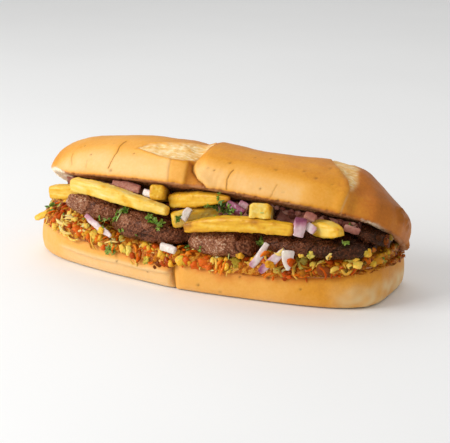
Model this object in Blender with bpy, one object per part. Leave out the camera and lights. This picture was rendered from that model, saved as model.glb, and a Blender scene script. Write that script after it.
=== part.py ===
"""A liver sandwich in a split roll.

Metres, +Z up. The roll's length runs along X, its open side faces -Y, and it rests on z = 0.
Sizes and places below are in millimetres and become metres as each mesh is made.
"""

import math

import bmesh
import bpy
from mathutils import Matrix, Vector, noise

MM = 0.001
TOUCH_GAP = 0.3  # kept between pieces that lie against each other
FLAT_ANGLE = 1.2  # faces of a cut piece that differ by fewer degrees are joined

# The roll. Shut and empty it would be ROLL_LENGTH x ROLL_WIDTH x (BASE_HEIGHT + LID_HEIGHT).
ROLL_LENGTH = 250.0
ROLL_WIDTH = 84.0
BASE_HEIGHT = 20.0
LID_HEIGHT = 36.0
LID_TILT = 32.8  # degrees that the lid is propped open, about its back edge
LID_BACK_EDGE = Vector((2.5, 35.8, 18.0))
BEND = 13.0  # degrees between the roll's two halves, seen from above
BEND_SOFTNESS = 12.0
BEND_FORWARD = 6.5
BASE_BLUNT = (3.8, 4.6)  # superellipse powers of the left and right ends: higher is squarer
LID_BLUNT = (3.3, 3.2)
LID_OVERHANG = 3.0  # how far the lid's right end reaches past the base's
OVERHANG_FROM = 40.0
HEART_HEIGHT = 8.0  # of the line along the middle of the lid that its dents point to
RING_POINTS = 70
RING_SAMPLES = 2880

# The cleft where the dough tore as it rose, across the middle of both halves. It fades to its left and right.
CLEFT_X = 3.0
CLEFT_DEPTH = 5.0
CLEFT_FADES = (8.0, 3.5)
CLEFT_AT_BACK = 0.3  # as a share of its depth in front
CLEFT_AT_CROWN = 0.35
BASE_CLEFT_X = -1.0
BASE_CLEFT_DEPTH = 3.4
BASE_CLEFT_FADES = (2.4, 4.0)
BASE_CLEFT_AT_BACK = 0.25

# The two slashes in the lid's crust, opened in the oven: a long one over the crown's left half, and one at
# the right end, whose lip runs from the crown round to the front rim.
LONG_SLASH = Vector((-17.0, -45.0, 20.0))
LONG_SLASH_REACH = Vector((17.0, 12.0, 4.0))
LONG_SLASH_DEPTH = 2.2
END_SLASH_AT_CROWN = 80.0
END_SLASH_AT_RIM = 101.0
END_SLASH_STEEP_BELOW = 12.0
END_SLASH_CURVE = 0.8
END_SLASH_DEPTH = 3.6
END_SLASH_FADES = (2.5, 6.5)

# The filling.
RELISH_TOP = 28.0
RELISH_LEFT_RISE = 7.0
RELISH_LEFT_RAMP = (-48.0, -78.0)
RELISH_RIGHT_RISE = 6.0
RELISH_RIGHT_RAMP = (42.0, 74.0)

FINISHES = {  # RGB colour and roughness
    "crust": ((0.72, 0.42, 0.14), 0.5),
    "fried potato": ((0.80, 0.55, 0.10), 0.5),
    "red onion": ((0.78, 0.62, 0.66), 0.35),
    "fried liver": ((0.09, 0.035, 0.025), 0.4),
    "relish": ((0.70, 0.30, 0.05), 0.45),
    "chopped onion": ((0.35, 0.13, 0.14), 0.45),
}


def clear_scene():
    for old in list(bpy.data.objects):
        bpy.data.objects.remove(old)


def material(name):
    """A Principled material of one of the finishes."""
    colour, roughness = FINISHES[name]
    made = bpy.data.materials.new(name)
    made.use_nodes = True
    shader = made.node_tree.nodes["Principled BSDF"]
    shader.inputs["Base Color"].default_value = (*colour, 1.0)
    shader.inputs["Roughness"].default_value = roughness
    return made


def smoothstep(start, end, value):
    part = min(max((value - start) / (end - start), 0.0), 1.0)
    return part * part * (3 - 2 * part)


def signed_power(value, power):
    return math.copysign(abs(value) ** power, value)


def lofted(rings):
    """A closed bmesh from rings of points, each a list of 3-D vectors, capped at both ends."""
    bm = bmesh.new()
    made = [[bm.verts.new(p) for p in ring] for ring in rings]
    for lower, upper in zip(made, made[1:]):
        for i in range(len(lower)):
            j = (i + 1) % len(lower)
            bm.faces.new((lower[i], lower[j], upper[j], upper[i]))
    for ring in (made[0], made[-1]):
        bm.faces.new(ring)
    return bm


def largest_piece(bm):
    """Deletes all but the largest of a bmesh's loose pieces."""
    left = set(bm.verts)
    pieces = []
    while left:
        piece, front = set(), [left.pop()]
        while front:
            vert = front.pop()
            piece.add(vert)
            for edge in vert.link_edges:
                other = edge.other_vert(vert)
                if other in left:
                    left.remove(other)
                    front.append(other)
        pieces.append(piece)
    pieces.sort(key=len)
    for piece in pieces[:-1]:
        bmesh.ops.delete(bm, geom=list(piece), context="VERTS")


def new_object(name, bm):
    mesh = bpy.data.meshes.new(name)
    bm.to_mesh(mesh)
    bm.free()
    made = bpy.data.objects.new(name, mesh)
    bpy.context.scene.collection.objects.link(made)
    return made


class Sandwich:
    """Builds the pieces one after another, each cut clear of the pieces that are there already."""

    def __init__(self):
        self.pieces = []
        self.cutters = []

    def add(self, name, bm, finish):
        """Closes a bmesh in millimetres into an object in metres, clear of its neighbours."""
        bmesh.ops.triangulate(bm, faces=bm.faces)
        bmesh.ops.recalc_face_normals(bm, faces=bm.faces)
        bmesh.ops.scale(bm, vec=(MM, MM, MM), verts=bm.verts)
        cutter = grown(bm)
        piece = new_object(name, bm)
        piece.data.materials.append(finish)
        meeting = [other for other in self.cutters if boxes_meet(piece, other)]
        for other in meeting:
            cut_clear(piece, other)
        if meeting:
            merge_flats(piece)
        piece.data.shade_smooth()
        self.pieces.append(piece)
        self.cutters.append(cutter)

    def finish(self):
        """Removes the cutters and puts the origin under the middle of the sandwich."""
        for cutter in self.cutters:
            bpy.data.objects.remove(cutter)
        points = [v.co for piece in self.pieces for v in piece.data.vertices]
        middle = [(min(p[k] for p in points) + max(p[k] for p in points)) / 2 for k in range(2)]
        for piece in self.pieces:
            piece.data.transform(Matrix.Translation((-middle[0], -middle[1], 0)))


def grown(bm):
    """A piece's shape before any cut, grown by the touching gap, as a cutter for later pieces."""
    bm = bm.copy()
    bm.normal_update()
    for vert in bm.verts:
        vert.co += vert.normal * vert.calc_shell_factor() * TOUCH_GAP * MM
    cutter = new_object("cutter", bm)
    cutter.hide_render = True
    cutter.display_type = "WIRE"
    return cutter


def boxes_meet(one, other):
    for axis in range(3):
        ones = [v.co[axis] for v in one.data.vertices]
        others = [v.co[axis] for v in other.data.vertices]
        if max(ones) < min(others) or max(others) < min(ones):
            return False
    return True


def cut_clear(piece, cutter):
    """Cuts a cutter out of a piece and keeps the largest part of what is left."""
    cut = piece.modifiers.new("cut", "BOOLEAN")
    cut.object = cutter
    cut.use_self = True
    graph = bpy.context.evaluated_depsgraph_get()
    bm = bmesh.new()
    bm.from_mesh(piece.evaluated_get(graph).to_mesh())
    largest_piece(bm)
    piece.modifiers.remove(cut)
    bm.to_mesh(piece.data)
    bm.free()


def merge_flats(piece):
    """Joins a cut piece's nearly flat neighbouring faces, which the cuts left as slivers."""
    bm = bmesh.new()
    bm.from_mesh(piece.data)
    bmesh.ops.dissolve_limit(bm, angle_limit=math.radians(FLAT_ANGLE), verts=bm.verts, edges=bm.edges)
    bmesh.ops.triangulate(bm, faces=bm.faces)
    bm.to_mesh(piece.data)
    bm.free()


# ---- The bread ----


def roll_outline(turn, inset, blunt):
    """A point of the roll's plan outline, a superellipse, drawn in by inset."""
    across, forth = math.cos(turn), math.sin(turn)
    power = blunt[1] if across > 0 else blunt[0]
    reach = (abs(across) ** power + abs(forth) ** power) ** (-1 / power)
    return Vector(((ROLL_LENGTH / 2 - inset) * across, (ROLL_WIDTH / 2 - inset) * forth, 0)) * reach


def ring_turns(blunt, closer, count=RING_POINTS):
    """Turns that space points evenly round the roll, and closer, by a gain, within a width of some x."""
    fine = [2 * math.pi * i / RING_SAMPLES for i in range(RING_SAMPLES + 1)]
    reach = [0.0]
    for a, b in zip(fine, fine[1:]):
        p, q = roll_outline(a, 0, blunt), roll_outline(b, 0, blunt)
        near = sum(gain * math.exp(-(((p.x - x) / width) ** 2)) for x, width, gain in closer)
        reach.append(reach[-1] + (q - p).length * (1 + near))
    turns, at = [], 0
    for k in range(count):
        while reach[at + 1] < reach[-1] * k / count:
            at += 1
        turns.append(fine[at])
    return turns


def bent(point):
    """Bends the roll about its middle, which stands forward of its ends."""
    half = math.radians(BEND / 2)
    soft = math.sqrt(point.x**2 + BEND_SOFTNESS**2) - BEND_SOFTNESS
    return Vector((point.x * math.cos(half), point.y + soft * math.sin(half) - BEND_FORWARD, point.z))


def notch(offset, fades):
    """A dent's depth, 1 at its line and fading to its left and right."""
    return math.exp(-((offset / fades[0 if offset < 0 else 1]) ** 2))


def pushed_in(point, depth, heart_height):
    """Moves a point of the crust towards the heart of the roll."""
    end = ROLL_LENGTH / 2 - ROLL_WIDTH / 2
    heart = Vector((min(max(point.x, -end), end), 0, heart_height))
    return point + (heart - point).normalized() * depth


BASE_LEVELS = (  # inset from the outline and height
    (9.0, 0.0),
    (3.0, 0.5),
    (0.8, 3.6),
    (0.0, 9.0),
    (0.2, 13.0),
    (1.0, 17.0),
    (2.8, 19.5),
    (5.0, BASE_HEIGHT),
    (9.0, 19.0),
    (20.0, 17.6),
)
LID_LEVELS = (
    (22.0, 1.6),
    (8.0, 1.0),
    (4.0, 0.0),
    (1.8, 0.8),
    (0.3, 4.0),
    (0.0, 9.0),
    (1.0, 15.0),
    (3.6, 21.0),
    (8.0, 26.5),
    (14.0, 31.0),
    (21.0, 34.0),
    (29.0, 35.6),
    (36.0, LID_HEIGHT),
)
CROWN_SWELL_POWER = 1.5  # higher keeps the swells nearer to the crown
CROWN_SWELLS = (  # middle along the roll, reach and rise
    (14.0, 12.0, 1.8),
    (48.0, 18.0, 0.6),
    (82.0, 22.0, 4.0),
    (118.0, 16.0, -9.5),
    (-40.0, 48.0, 2.2),
    (-122.0, 24.0, -2.0),
)
RIM_LIFT_BELOW = 12.0  # height below which the lid's rim lifts at its left tip and droops at its right
RIM_LIFTS = (  # middle along the roll, reach and rise
    (-125.0, 22.0, 5.0),
    (125.0, 10.0, -2.5),
)


BASE_FRONT = (10.0, -20.0)  # y where the front's cleft begins, and where it is full
BASE_SOLE = 4.0  # the cleft fades out below this height
BASE_CLOSER = ((BASE_CLEFT_X, 8.0, 3.0),)  # x, width and gain of closer points
BASE_LIFT_ABOVE = 8.0  # height above which the base's rim rises towards its ends, like a boat's
BASE_LIFT_FRONT = (38.0, 12.0)  # y where the rise begins, and where it is full
BASE_LIFTS = (  # middle along the roll, reach and rise
    (-112.0, 16.0, 2.5),
    (124.0, 22.0, 7.0),
)


def base_point(flat, height):
    point = Vector((flat.x, flat.y, height))
    high = smoothstep(BASE_LIFT_ABOVE, BASE_HEIGHT, height) * smoothstep(*BASE_LIFT_FRONT, point.y)
    point.z += high * sum(rise * notch(point.x - x, (reach, reach)) for x, reach, rise in BASE_LIFTS)
    front = BASE_CLEFT_AT_BACK + (1 - BASE_CLEFT_AT_BACK) * smoothstep(*BASE_FRONT, point.y)
    depth = BASE_CLEFT_DEPTH * notch(point.x - BASE_CLEFT_X, BASE_CLEFT_FADES) * front
    return bent(pushed_in(point, depth * smoothstep(0.0, BASE_SOLE, height), height))


def make_base(sandwich, finish):
    turns = ring_turns(BASE_BLUNT, BASE_CLOSER)
    rings = []
    for inset, height in BASE_LEVELS:
        rings.append([base_point(roll_outline(t, inset, BASE_BLUNT), height) for t in turns])
    sandwich.add("roll_base", lofted(rings), finish)


LID_FRONT = (25.0, -15.0)  # y where the front's cleft begins, and where it is full
LID_RIM = (-2.0, 5.0)  # heights between which the relief sets in
LID_CROWN = (33.0, 24.0)  # heights between which the relief grows to its full depth
CLEFT_LEANS = ((0.0, 12.0, 2.0), (16.0, 30.0, -4.0))  # two heights, and how far the cleft moves between them
LID_CLOSER = ((CLEFT_X, 10.0, 2.4), (END_SLASH_AT_RIM, 9.0, 1.2))  # x, width and gain of closer points


def end_slash_x(height):
    """Where the right-hand slash's lip runs at a height."""
    down = math.sin(math.pi / 2 * smoothstep(LID_HEIGHT, END_SLASH_STEEP_BELOW, height)) ** END_SLASH_CURVE
    return END_SLASH_AT_CROWN + (END_SLASH_AT_RIM - END_SLASH_AT_CROWN) * down


def lid_relief(point):
    """How deep the lid's cleft and slashes lie below its smooth crust at a point."""
    lean = sum(move * smoothstep(low, high, point.z) for low, high, move in CLEFT_LEANS)
    cleft = CLEFT_DEPTH * notch(point.x - CLEFT_X - lean, CLEFT_FADES)
    end = END_SLASH_DEPTH * notch(point.x - end_slash_x(point.z) - END_SLASH_FADES[0], END_SLASH_FADES)
    away = [(point[k] - LONG_SLASH[k]) / LONG_SLASH_REACH[k] for k in range(3)]
    long = LONG_SLASH_DEPTH * math.exp(-sum(a**4 for a in away))
    front = CLEFT_AT_BACK + (1 - CLEFT_AT_BACK) * smoothstep(*LID_FRONT, point.y)
    below_crown = CLEFT_AT_CROWN + (1 - CLEFT_AT_CROWN) * smoothstep(*LID_CROWN, point.z)
    return smoothstep(*LID_RIM, point.z) * below_crown * (front * (cleft + end) + long)


def lid_point(flat, height):
    point = Vector((flat.x, flat.y, height))
    share = (height / LID_HEIGHT) ** CROWN_SWELL_POWER
    point.z += share * sum(rise * notch(point.x - x, (reach, reach)) for x, reach, rise in CROWN_SWELLS)
    low = smoothstep(RIM_LIFT_BELOW, 0.0, height)
    point.z += low * sum(rise * notch(point.x - x, (reach, reach)) for x, reach, rise in RIM_LIFTS)
    point = pushed_in(point, lid_relief(point), HEART_HEIGHT)
    point.x += LID_OVERHANG * smoothstep(OVERHANG_FROM, ROLL_LENGTH / 2, point.x)
    tilt = Matrix.Rotation(-math.radians(LID_TILT), 4, "X")
    return tilt @ (bent(point) - Vector((0, ROLL_WIDTH / 2, 0))) + LID_BACK_EDGE


def make_lid(sandwich, finish):
    turns = ring_turns(LID_BLUNT, LID_CLOSER)
    rings = []
    for inset, height in LID_LEVELS:
        rings.append([lid_point(roll_outline(t, inset, LID_BLUNT), height) for t in turns])
    sandwich.add("roll_lid", lofted(rings), finish)


# ---- Sticks: the chips and the strips of onion ----

UPWARD = Vector((0.0, 0.0, 1.0))
FORWARD_AND_UP = Vector((0.35, -0.85, 0.35))
STICK_CORNERS = 8
STICK_CHAMFER = 0.12  # length of the bevel at each end, as a share of the stick's height
STICK_END = 0.82  # size of the end faces, as a share of the section
TAPER_SHARES = (0.35, 0.4)  # of the length, from the first and from the last end
LOOK_AHEAD = 0.01  # share of the path over which its direction is measured


def along(path, part):
    """A point of a smooth curve through the path's points."""
    spans = len(path) - 1
    at = min(int(part * spans), spans - 1)
    t = part * spans - at
    before = path[at - 1] if at > 0 else path[0] * 2 - path[1]
    after = path[at + 2] if at + 2 <= spans else path[spans] * 2 - path[spans - 1]
    a, b = path[at], path[at + 1]
    bend = (before * -1 + a * 3 - b * 3 + after) * t**3 + (before * 2 - a * 5 + b * 4 - after) * t**2
    return (bend + (b - before) * t + a * 2) / 2


def stick(path, width, height, taper, facing, square, stations):
    """A bar along a path, its section a rounded rectangle, its broad side facing one way."""
    path = [Vector(p) for p in path]
    length = sum((b - a).length for a, b in zip(path, path[1:]))
    edge = STICK_CHAMFER * height / length
    parts = [0.0, edge] + [k / stations for k in range(1, stations)] + [1 - edge, 1.0]
    rings = []
    for part in parts:
        ahead, behind = along(path, min(part + LOOK_AHEAD, 1)), along(path, max(part - LOOK_AHEAD, 0))
        forward = (ahead - behind).normalized()
        up = (facing - forward * facing.dot(forward)).normalized()
        side = forward.cross(up)
        scale = taper[0] + (1 - taper[0]) * smoothstep(0.0, TAPER_SHARES[0], part)
        scale *= taper[1] + (1 - taper[1]) * smoothstep(1.0, 1 - TAPER_SHARES[1], part)
        if part in (0.0, 1.0):
            scale *= STICK_END
        ring = []
        for k in range(STICK_CORNERS):
            turn = 2 * math.pi * (k + 0.5) / STICK_CORNERS
            across = signed_power(math.cos(turn), 2 / square) * width / 2
            rise = signed_power(math.sin(turn), 2 / square) * height / 2
            ring.append(along(path, part) + (side * across + up * rise) * scale)
        rings.append(ring)
    return lofted(rings)


CHIP_SQUARE = 5.0  # superellipse power of the section
CHIP_STATIONS = 4
CHIPS = (  # path, width, thickness and how much its two ends taper
    (((-103, -28.5, 45.3), (-82, -27.5, 47.6), (-62, -25, 49)), 10.0, 9.7, (0.95, 1.0)),
    (((-82, -34, 54.3), (-60, -36, 54.0), (-36, -38.5, 51.4), (-8.5, -39.5, 48.0)), 9.6, 9.6, (0.95, 0.62)),
    (((-17.2, -38.4, 59.0), (-22.5, -22, 52.0)), 9.8, 9.7, (1.0, 1.0)),
    (((-12, -28, 51.6), (8, -31, 56.0), (32, -34, 60.2)), 9.6, 9.6, (1.0, 0.34)),
    (((-5.5, -40.5, 42.8), (8, -30, 45.5), (22, -20, 47.5)), 9.6, 9.6, (1.0, 0.9)),
    (((5.5, -43, 40.6), (25, -43, 45.8), (47, -42, 48.6), (77, -39, 48.4)), 9.4, 9.4, (0.7, 0.8)),
    (((55.4, -41.5, 57.4), (49, -22.5, 49.0)), 13.6, 11.4, (1.0, 0.95)),
    (((85, -25, 47.6), (105, -34.5, 49.6)), 10.5, 9.7, (1.0, 0.5)),
    (((-121, -23, 22.6), (-108, -25, 29.4)), 5.0, 5.0, (0.7, 1.0)),
)


def make_chips(sandwich, finish):
    for number, (path, width, thickness, taper) in enumerate(CHIPS, start=1):
        chip = stick(path, width, thickness, taper, UPWARD, CHIP_SQUARE, CHIP_STATIONS)
        sandwich.add(f"chip_{number:02d}", chip, finish)


ONION_SQUARE = 3.0
ONION_STATIONS = 2
ONIONS = (  # path, width, thickness and how much its two ends taper
    (((-69, -40.5, 37.4), (-62, -43.5, 34.6), (-55, -45, 31.2)), 4.4, 2.0, (0.7, 0.9)),
    (((-54, -45.2, 31.6), (-46, -47, 28.2)), 4.2, 2.0, (0.9, 0.6)),
    (((-9.5, -47, 27.4), (1.5, -48, 26.4)), 5.4, 3.2, (1.0, 0.9)),
    (((5, -36, 51.0), (2.5, -41, 44.6)), 5.4, 2.4, (0.8, 1.0)),
    (((31, -36, 58.2), (43, -38, 53.6)), 5.4, 2.4, (0.8, 0.9)),
    (((37, -32, 57.8), (43, -32, 55.8)), 4.6, 2.2, (0.9, 0.9)),
    (((60.5, -41, 38.4), (57.5, -45.5, 31.0), (53, -47.5, 24.4)), 5.2, 2.2, (0.7, 0.8)),
    (((72.5, -41.5, 35.8), (66, -45.5, 29.6), (59, -48.5, 22.4)), 5.4, 2.4, (0.8, 0.8)),
    (((74.5, -42, 36.4), (75.5, -44.5, 24.6)), 7.6, 2.4, (1.1, 0.3)),
    (((80.5, -37, 56.0), (79.5, -41, 45.4)), 8.2, 2.8, (0.9, 1.0)),
    (((80, -31, 56.4), (87, -31, 54.6)), 5.2, 2.4, (0.9, 0.9)),
    (((83, -35, 51.0), (89, -36, 48.6)), 5.6, 2.4, (0.9, 0.9)),
    (((102, -24, 49.6), (111, -21, 47.0)), 4.6, 2.2, (0.9, 0.8)),
    (((-30, -33, 56.0), (-22.5, -34, 55.0)), 4.8, 2.6, (0.9, 0.9)),
    (((-54, -31, 58.2), (-33, -32, 56.8)), 6.6, 2.2, (0.7, 0.9)),
)


def make_onions(sandwich, finish):
    for number, (path, width, thickness, taper) in enumerate(ONIONS, start=1):
        strip = stick(path, width, thickness, taper, FORWARD_AND_UP, ONION_SQUARE, ONION_STATIONS)
        sandwich.add(f"onion_{number:02d}", strip, finish)


# ---- The liver ----

SLAB_STATIONS = 9
SLAB_CORNERS = 12
SLAB_END = 0.35  # how far in from its very end the first station is, in stations
SLAB_MIDDLE = (0.35, 0.65)  # shares of the length between which one end's bluntness gives way to the other's
SLAB_CORNER_POWER = 0.75  # lower is squarer
SLAB_LUMP_SIZE = 9.0
SLAB_LUMP = Vector((0, 1.1, 0.66))


def slab(ends, front, back, heights, blunt):
    """A slice of liver along X between two ends. heights holds its bottom and top at either end."""
    rings = []
    for k in range(SLAB_STATIONS):
        turn = math.pi * (k + SLAB_END) / (SLAB_STATIONS - 1 + 2 * SLAB_END)
        share = (1 - math.cos(turn)) / 2
        x = ends[0] + (ends[1] - ends[0]) * share
        offset = 2 * share - 1
        power = blunt[0] + (blunt[1] - blunt[0]) * smoothstep(*SLAB_MIDDLE, share)
        full = (1 - abs(offset) ** power) ** (1 / power)
        bottom = heights[0][0] + (heights[1][0] - heights[0][0]) * share
        top = heights[0][1] + (heights[1][1] - heights[0][1]) * share
        ring = []
        for i in range(SLAB_CORNERS):
            angle = 2 * math.pi * i / SLAB_CORNERS
            out, rise = (signed_power(side(angle), SLAB_CORNER_POWER) for side in (math.cos, math.sin))
            y = (front + back) / 2 + full * (back - front) / 2 * out
            z = (bottom + top) / 2 + full * (top - bottom) / 2 * rise
            point = Vector((x, y, z))
            ring.append(bent(point) + SLAB_LUMP * noise.noise(point / SLAB_LUMP_SIZE) * full)
        rings.append(ring)
    return lofted(rings)


LIVERS = (  # ends, front and back before the bend, bottom and top at either end, bluntness
    ((-92, -45), -38.5, -8, ((36.5, 51.0), (33.5, 46.0)), (3.4, 3.0)),
    ((-52, 14), -42.0, -3, ((26.5, 48.5), (29.0, 38.5)), (2.8, 1.7)),
    ((0, 50), -41.0, -3, ((26.6, 38.5), (26.6, 42.5)), (1.8, 4.0)),
    ((54, 121), -40.5, -3, ((32.5, 43.5), (33.0, 43.5)), (2.6, 2.6)),
    ((106, 126), -25.0, -4, ((41.5, 50.0), (38.0, 44.5)), (2.6, 2.2)),
)


def make_liver(sandwich, finish):
    for number, (ends, front, back, heights, blunt) in enumerate(LIVERS, start=1):
        sandwich.add(f"liver_{number}", slab(ends, front, back, heights, blunt), finish)


# ---- The heaps ----


def relish_top(x):
    """How high the relish is heaped along the roll."""
    left = RELISH_LEFT_RISE * smoothstep(*RELISH_LEFT_RAMP, x)
    right = RELISH_RIGHT_RISE * smoothstep(*RELISH_RIGHT_RAMP, x)
    return RELISH_TOP + left + right


RELISH_RING_POINTS = 40
RELISH_LUMP_SIZE = 7.0
RELISH_LUMP_OUT = 0.03  # as a share of the distance from the middle
RELISH_LUMP_UP = 1.6
RELISH_LEVELS = (  # inset from the outline, and how far up the heap
    (14.0, -0.30),
    (6.5, -0.10),
    (3.8, 0.25),
    (4.4, 0.65),
    (8.5, 0.95),
    (17.0, 1.00),
    (28.0, 0.85),
)


def make_relish(sandwich, finish):
    """The bed of relish on the base, all along the roll and back to the hinge."""
    turns = ring_turns(BASE_BLUNT, (), count=RELISH_RING_POINTS)
    rings = []
    for inset, share in RELISH_LEVELS:
        ring = []
        for turn in turns:
            flat = roll_outline(turn, inset, BASE_BLUNT)
            height = BASE_HEIGHT + share * (relish_top(flat.x) - BASE_HEIGHT)
            lump = noise.noise(Vector((flat.x, flat.y, height)) / RELISH_LUMP_SIZE)
            flat *= 1 + RELISH_LUMP_OUT * lump * smoothstep(0.0, 0.5, share)
            rise = RELISH_LUMP_UP * lump * smoothstep(0.2, 0.8, share)
            ring.append(bent(Vector((flat.x, flat.y, height + rise))))
        rings.append(ring)
    sandwich.add("relish_bed", lofted(rings), finish)


HEAP_SECTION = ((-22.0, 38.0), (-30.0, 47.0), (-28.5, 57.0), (-10.0, 52.0), (8.0, 40.0), (4.0, 33.0))
HEAP_ENDS = (-100.0, 112.0)
HEAP_LUMP_SIZE = 8.0
HEAP_UNEVENNESS = 2.6
HEAP_STATIONS = 13


def make_onion_heap(sandwich, finish):
    """Chopped onion between the liver and the lid, behind the chips."""
    rings = []
    for k in range(HEAP_STATIONS + 1):
        share = k / HEAP_STATIONS
        x = HEAP_ENDS[0] + (HEAP_ENDS[1] - HEAP_ENDS[0]) * share
        ring = []
        for y, z in HEAP_SECTION:
            lump = noise.noise(Vector((x, y, z)) / HEAP_LUMP_SIZE)
            ring.append(bent(Vector((x, y + HEAP_UNEVENNESS * lump + BEND_FORWARD, z))))
        rings.append(ring)
    sandwich.add("onion_heap", lofted(rings), finish)


def main():
    clear_scene()
    sandwich = Sandwich()
    crust = material("crust")
    make_base(sandwich, crust)
    make_lid(sandwich, crust)
    make_chips(sandwich, material("fried potato"))
    make_onions(sandwich, material("red onion"))
    make_liver(sandwich, material("fried liver"))
    make_relish(sandwich, material("relish"))
    make_onion_heap(sandwich, material("chopped onion"))
    sandwich.finish()


main()
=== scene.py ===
"""The looks of a filled bread roll: baked crust and torn crumb, fried liver, potato chips,
red onion, a heap of cooked vegetable relish and chopped parsley.

Shapes are made in millimetres and go into Blender in metres. The roll's length runs along X,
its open side faces -Y, and it rests on z = 0.
"""

import math
import random

import bmesh
import bpy
import numpy as np
from mathutils import Matrix, Vector, noise
from mathutils.bvhtree import BVHTree


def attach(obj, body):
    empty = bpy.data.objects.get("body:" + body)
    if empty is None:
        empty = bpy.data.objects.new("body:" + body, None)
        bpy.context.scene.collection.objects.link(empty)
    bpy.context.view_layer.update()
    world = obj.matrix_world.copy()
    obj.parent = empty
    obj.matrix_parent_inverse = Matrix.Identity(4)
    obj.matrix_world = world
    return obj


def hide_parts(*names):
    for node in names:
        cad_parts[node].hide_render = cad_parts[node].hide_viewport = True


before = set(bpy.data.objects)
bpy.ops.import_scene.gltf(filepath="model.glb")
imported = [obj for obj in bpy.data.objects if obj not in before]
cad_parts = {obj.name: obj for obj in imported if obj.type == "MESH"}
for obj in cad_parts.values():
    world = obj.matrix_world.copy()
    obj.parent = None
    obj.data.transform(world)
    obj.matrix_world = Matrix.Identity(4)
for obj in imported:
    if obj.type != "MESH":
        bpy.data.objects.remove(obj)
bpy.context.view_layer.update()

MM = 0.001
BODY = "root"
RELISH_SEED, DICE_SEED, PARSLEY_SEED = 7, 11, 23

# How the roll was formed, as the solids have it.
ROLL_HALF_LENGTH = 125.0
ROLL_HALF_WIDTH = 42.0
BEND = 13.0
BEND_SOFTNESS = 12.0
BEND_FORWARD = 6.5
LID_TILT = 32.8
LID_BACK_EDGE = np.array((2.5, 35.8, 18.0))
MOVED_TO_MIDDLE = np.array((-2.74, 3.17, 0.0))
RIM_LIFTS = ((-125.0, 22.0, 5.0), (125.0, 10.0, -2.5))  # where the lid's rim moves, over what reach, how far
HEART_HEIGHT = 8.0  # the line along the middle of the lid that its crust bulges round
MM_PER_DEGREE = 0.7  # along the crust, for each degree round the heart line

# The view that the pixels below are counted in, and where it stands.
PICTURE = (450, 443)
AZIMUTH, ELEVATION = 27.6, 17.5
DISTANCE = 800.0
MM_PER_PIXEL = 0.62
AIMED_AT = np.array((11.73, -37.82, 0.0))
AIMED_PIXEL = (200.0, 291.0)
SENSOR = 36.0


# ---- Numbers and noise ----


def smoothstep(start, end, value):
    part = np.clip((value - start) / (end - start), 0.0, 1.0)
    return part * part * (3 - 2 * part)


def bell(offset, reach):
    return np.exp(-((offset / reach) ** 2))


def noise_field(points, size, seed=0.0, stretch=(1, 1, 1)):
    """Smooth noise from -1 to 1 whose lumps are about size millimetres across."""
    places = points / (np.array(stretch, float) * size) + seed * 17.3
    return np.array([noise.noise(p) for p in places.tolist()])


def grain_field(points, size, seed=0.0):
    """Distance to the nearest of scattered points about size apart, in units of size."""
    places = points / size + seed * 11.7
    return np.array([noise.voronoi(p)[0][0] for p in places.tolist()])


# ---- Meshes ----


class Skin:
    """A dense triangle mesh in millimetres whose points are eased, raised and painted."""

    def __init__(self, points, faces):
        self.points = np.array(points, float)
        self.faces = np.array(faces, int)
        self.paint = {}

    def spread(self, values):
        """Each point's mean of its neighbours' values."""
        ends = np.concatenate([self.faces[:, [0, 1]], self.faces[:, [1, 2]], self.faces[:, [2, 0]]])
        both = np.concatenate([ends, ends[:, ::-1]])
        count = np.maximum(np.bincount(both[:, 0], minlength=len(self.points)), 1)
        columns = values.reshape(len(self.points), -1)
        sums = [np.bincount(both[:, 0], column[both[:, 1]], len(self.points)) for column in columns.T]
        return (np.stack(sums, 1) / count[:, None]).reshape(values.shape)

    def ease(self, rounds, give=0.5, back=0.52):
        """Smooths without shrinking, by a step in and a slightly longer step out."""
        for _ in range(rounds):
            self.points += give * (self.spread(self.points) - self.points)
            self.points -= back * (self.spread(self.points) - self.points)

    def normals(self):
        a, b, c = (self.points[self.faces[:, k]] for k in range(3))
        flat = np.cross(b - a, c - a)
        sums = np.zeros_like(self.points)
        for corner in range(3):
            for k in range(3):
                sums[:, k] += np.bincount(self.faces[:, corner], flat[:, k], len(self.points))
        return sums / np.maximum(np.linalg.norm(sums, axis=1), 1e-9)[:, None]

    def raised(self, height):
        self.points += self.normals() * np.asarray(height)[:, None]

    def sharpness(self, rounds):
        """How far each point stands out of its surroundings, in millimetres."""
        calm = self.points.copy()
        for _ in range(rounds):
            calm = self.spread(calm)
        return ((self.points - calm) * self.normals()).sum(1)

    def refine(self, near):
        """Halves the edges whose ends are both marked near."""
        bm = bmesh.new()
        self.fill(bm)
        edges = [e for e in bm.edges if near[e.verts[0].index] and near[e.verts[1].index]]
        bmesh.ops.subdivide_edges(bm, edges=edges, cuts=1, use_grid_fill=True)
        bmesh.ops.triangulate(bm, faces=bm.faces)
        bm.verts.index_update()
        self.points = np.array([v.co[:] for v in bm.verts])
        self.faces = np.array([[v.index for v in f.verts] for f in bm.faces])
        bm.free()

    def fill(self, bm):
        verts = [bm.verts.new(p) for p in self.points.tolist()]
        bm.verts.index_update()
        for face in self.faces.tolist():
            bm.faces.new([verts[i] for i in face])

    def tree(self):
        return BVHTree.FromPolygons(self.points.tolist(), self.faces.tolist())

    def piece(self, name, slot, finish, stands_for=()):
        """Makes the Blender object, riding on the sandwich."""
        mesh = bpy.data.meshes.new(name)
        mesh.from_pydata((self.points * MM).tolist(), [], self.faces.tolist())
        for title, values in self.paint.items():
            layer = mesh.attributes.new(title, "FLOAT", "POINT")
            layer.data.foreach_set("value", np.asarray(values, np.float32))
        mesh.materials.append(finish)
        mesh.shade_smooth()
        made = bpy.data.objects.new(name, mesh)
        bpy.context.scene.collection.objects.link(made)
        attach(made, BODY)
        if stands_for:
            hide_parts(*stands_for)


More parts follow.
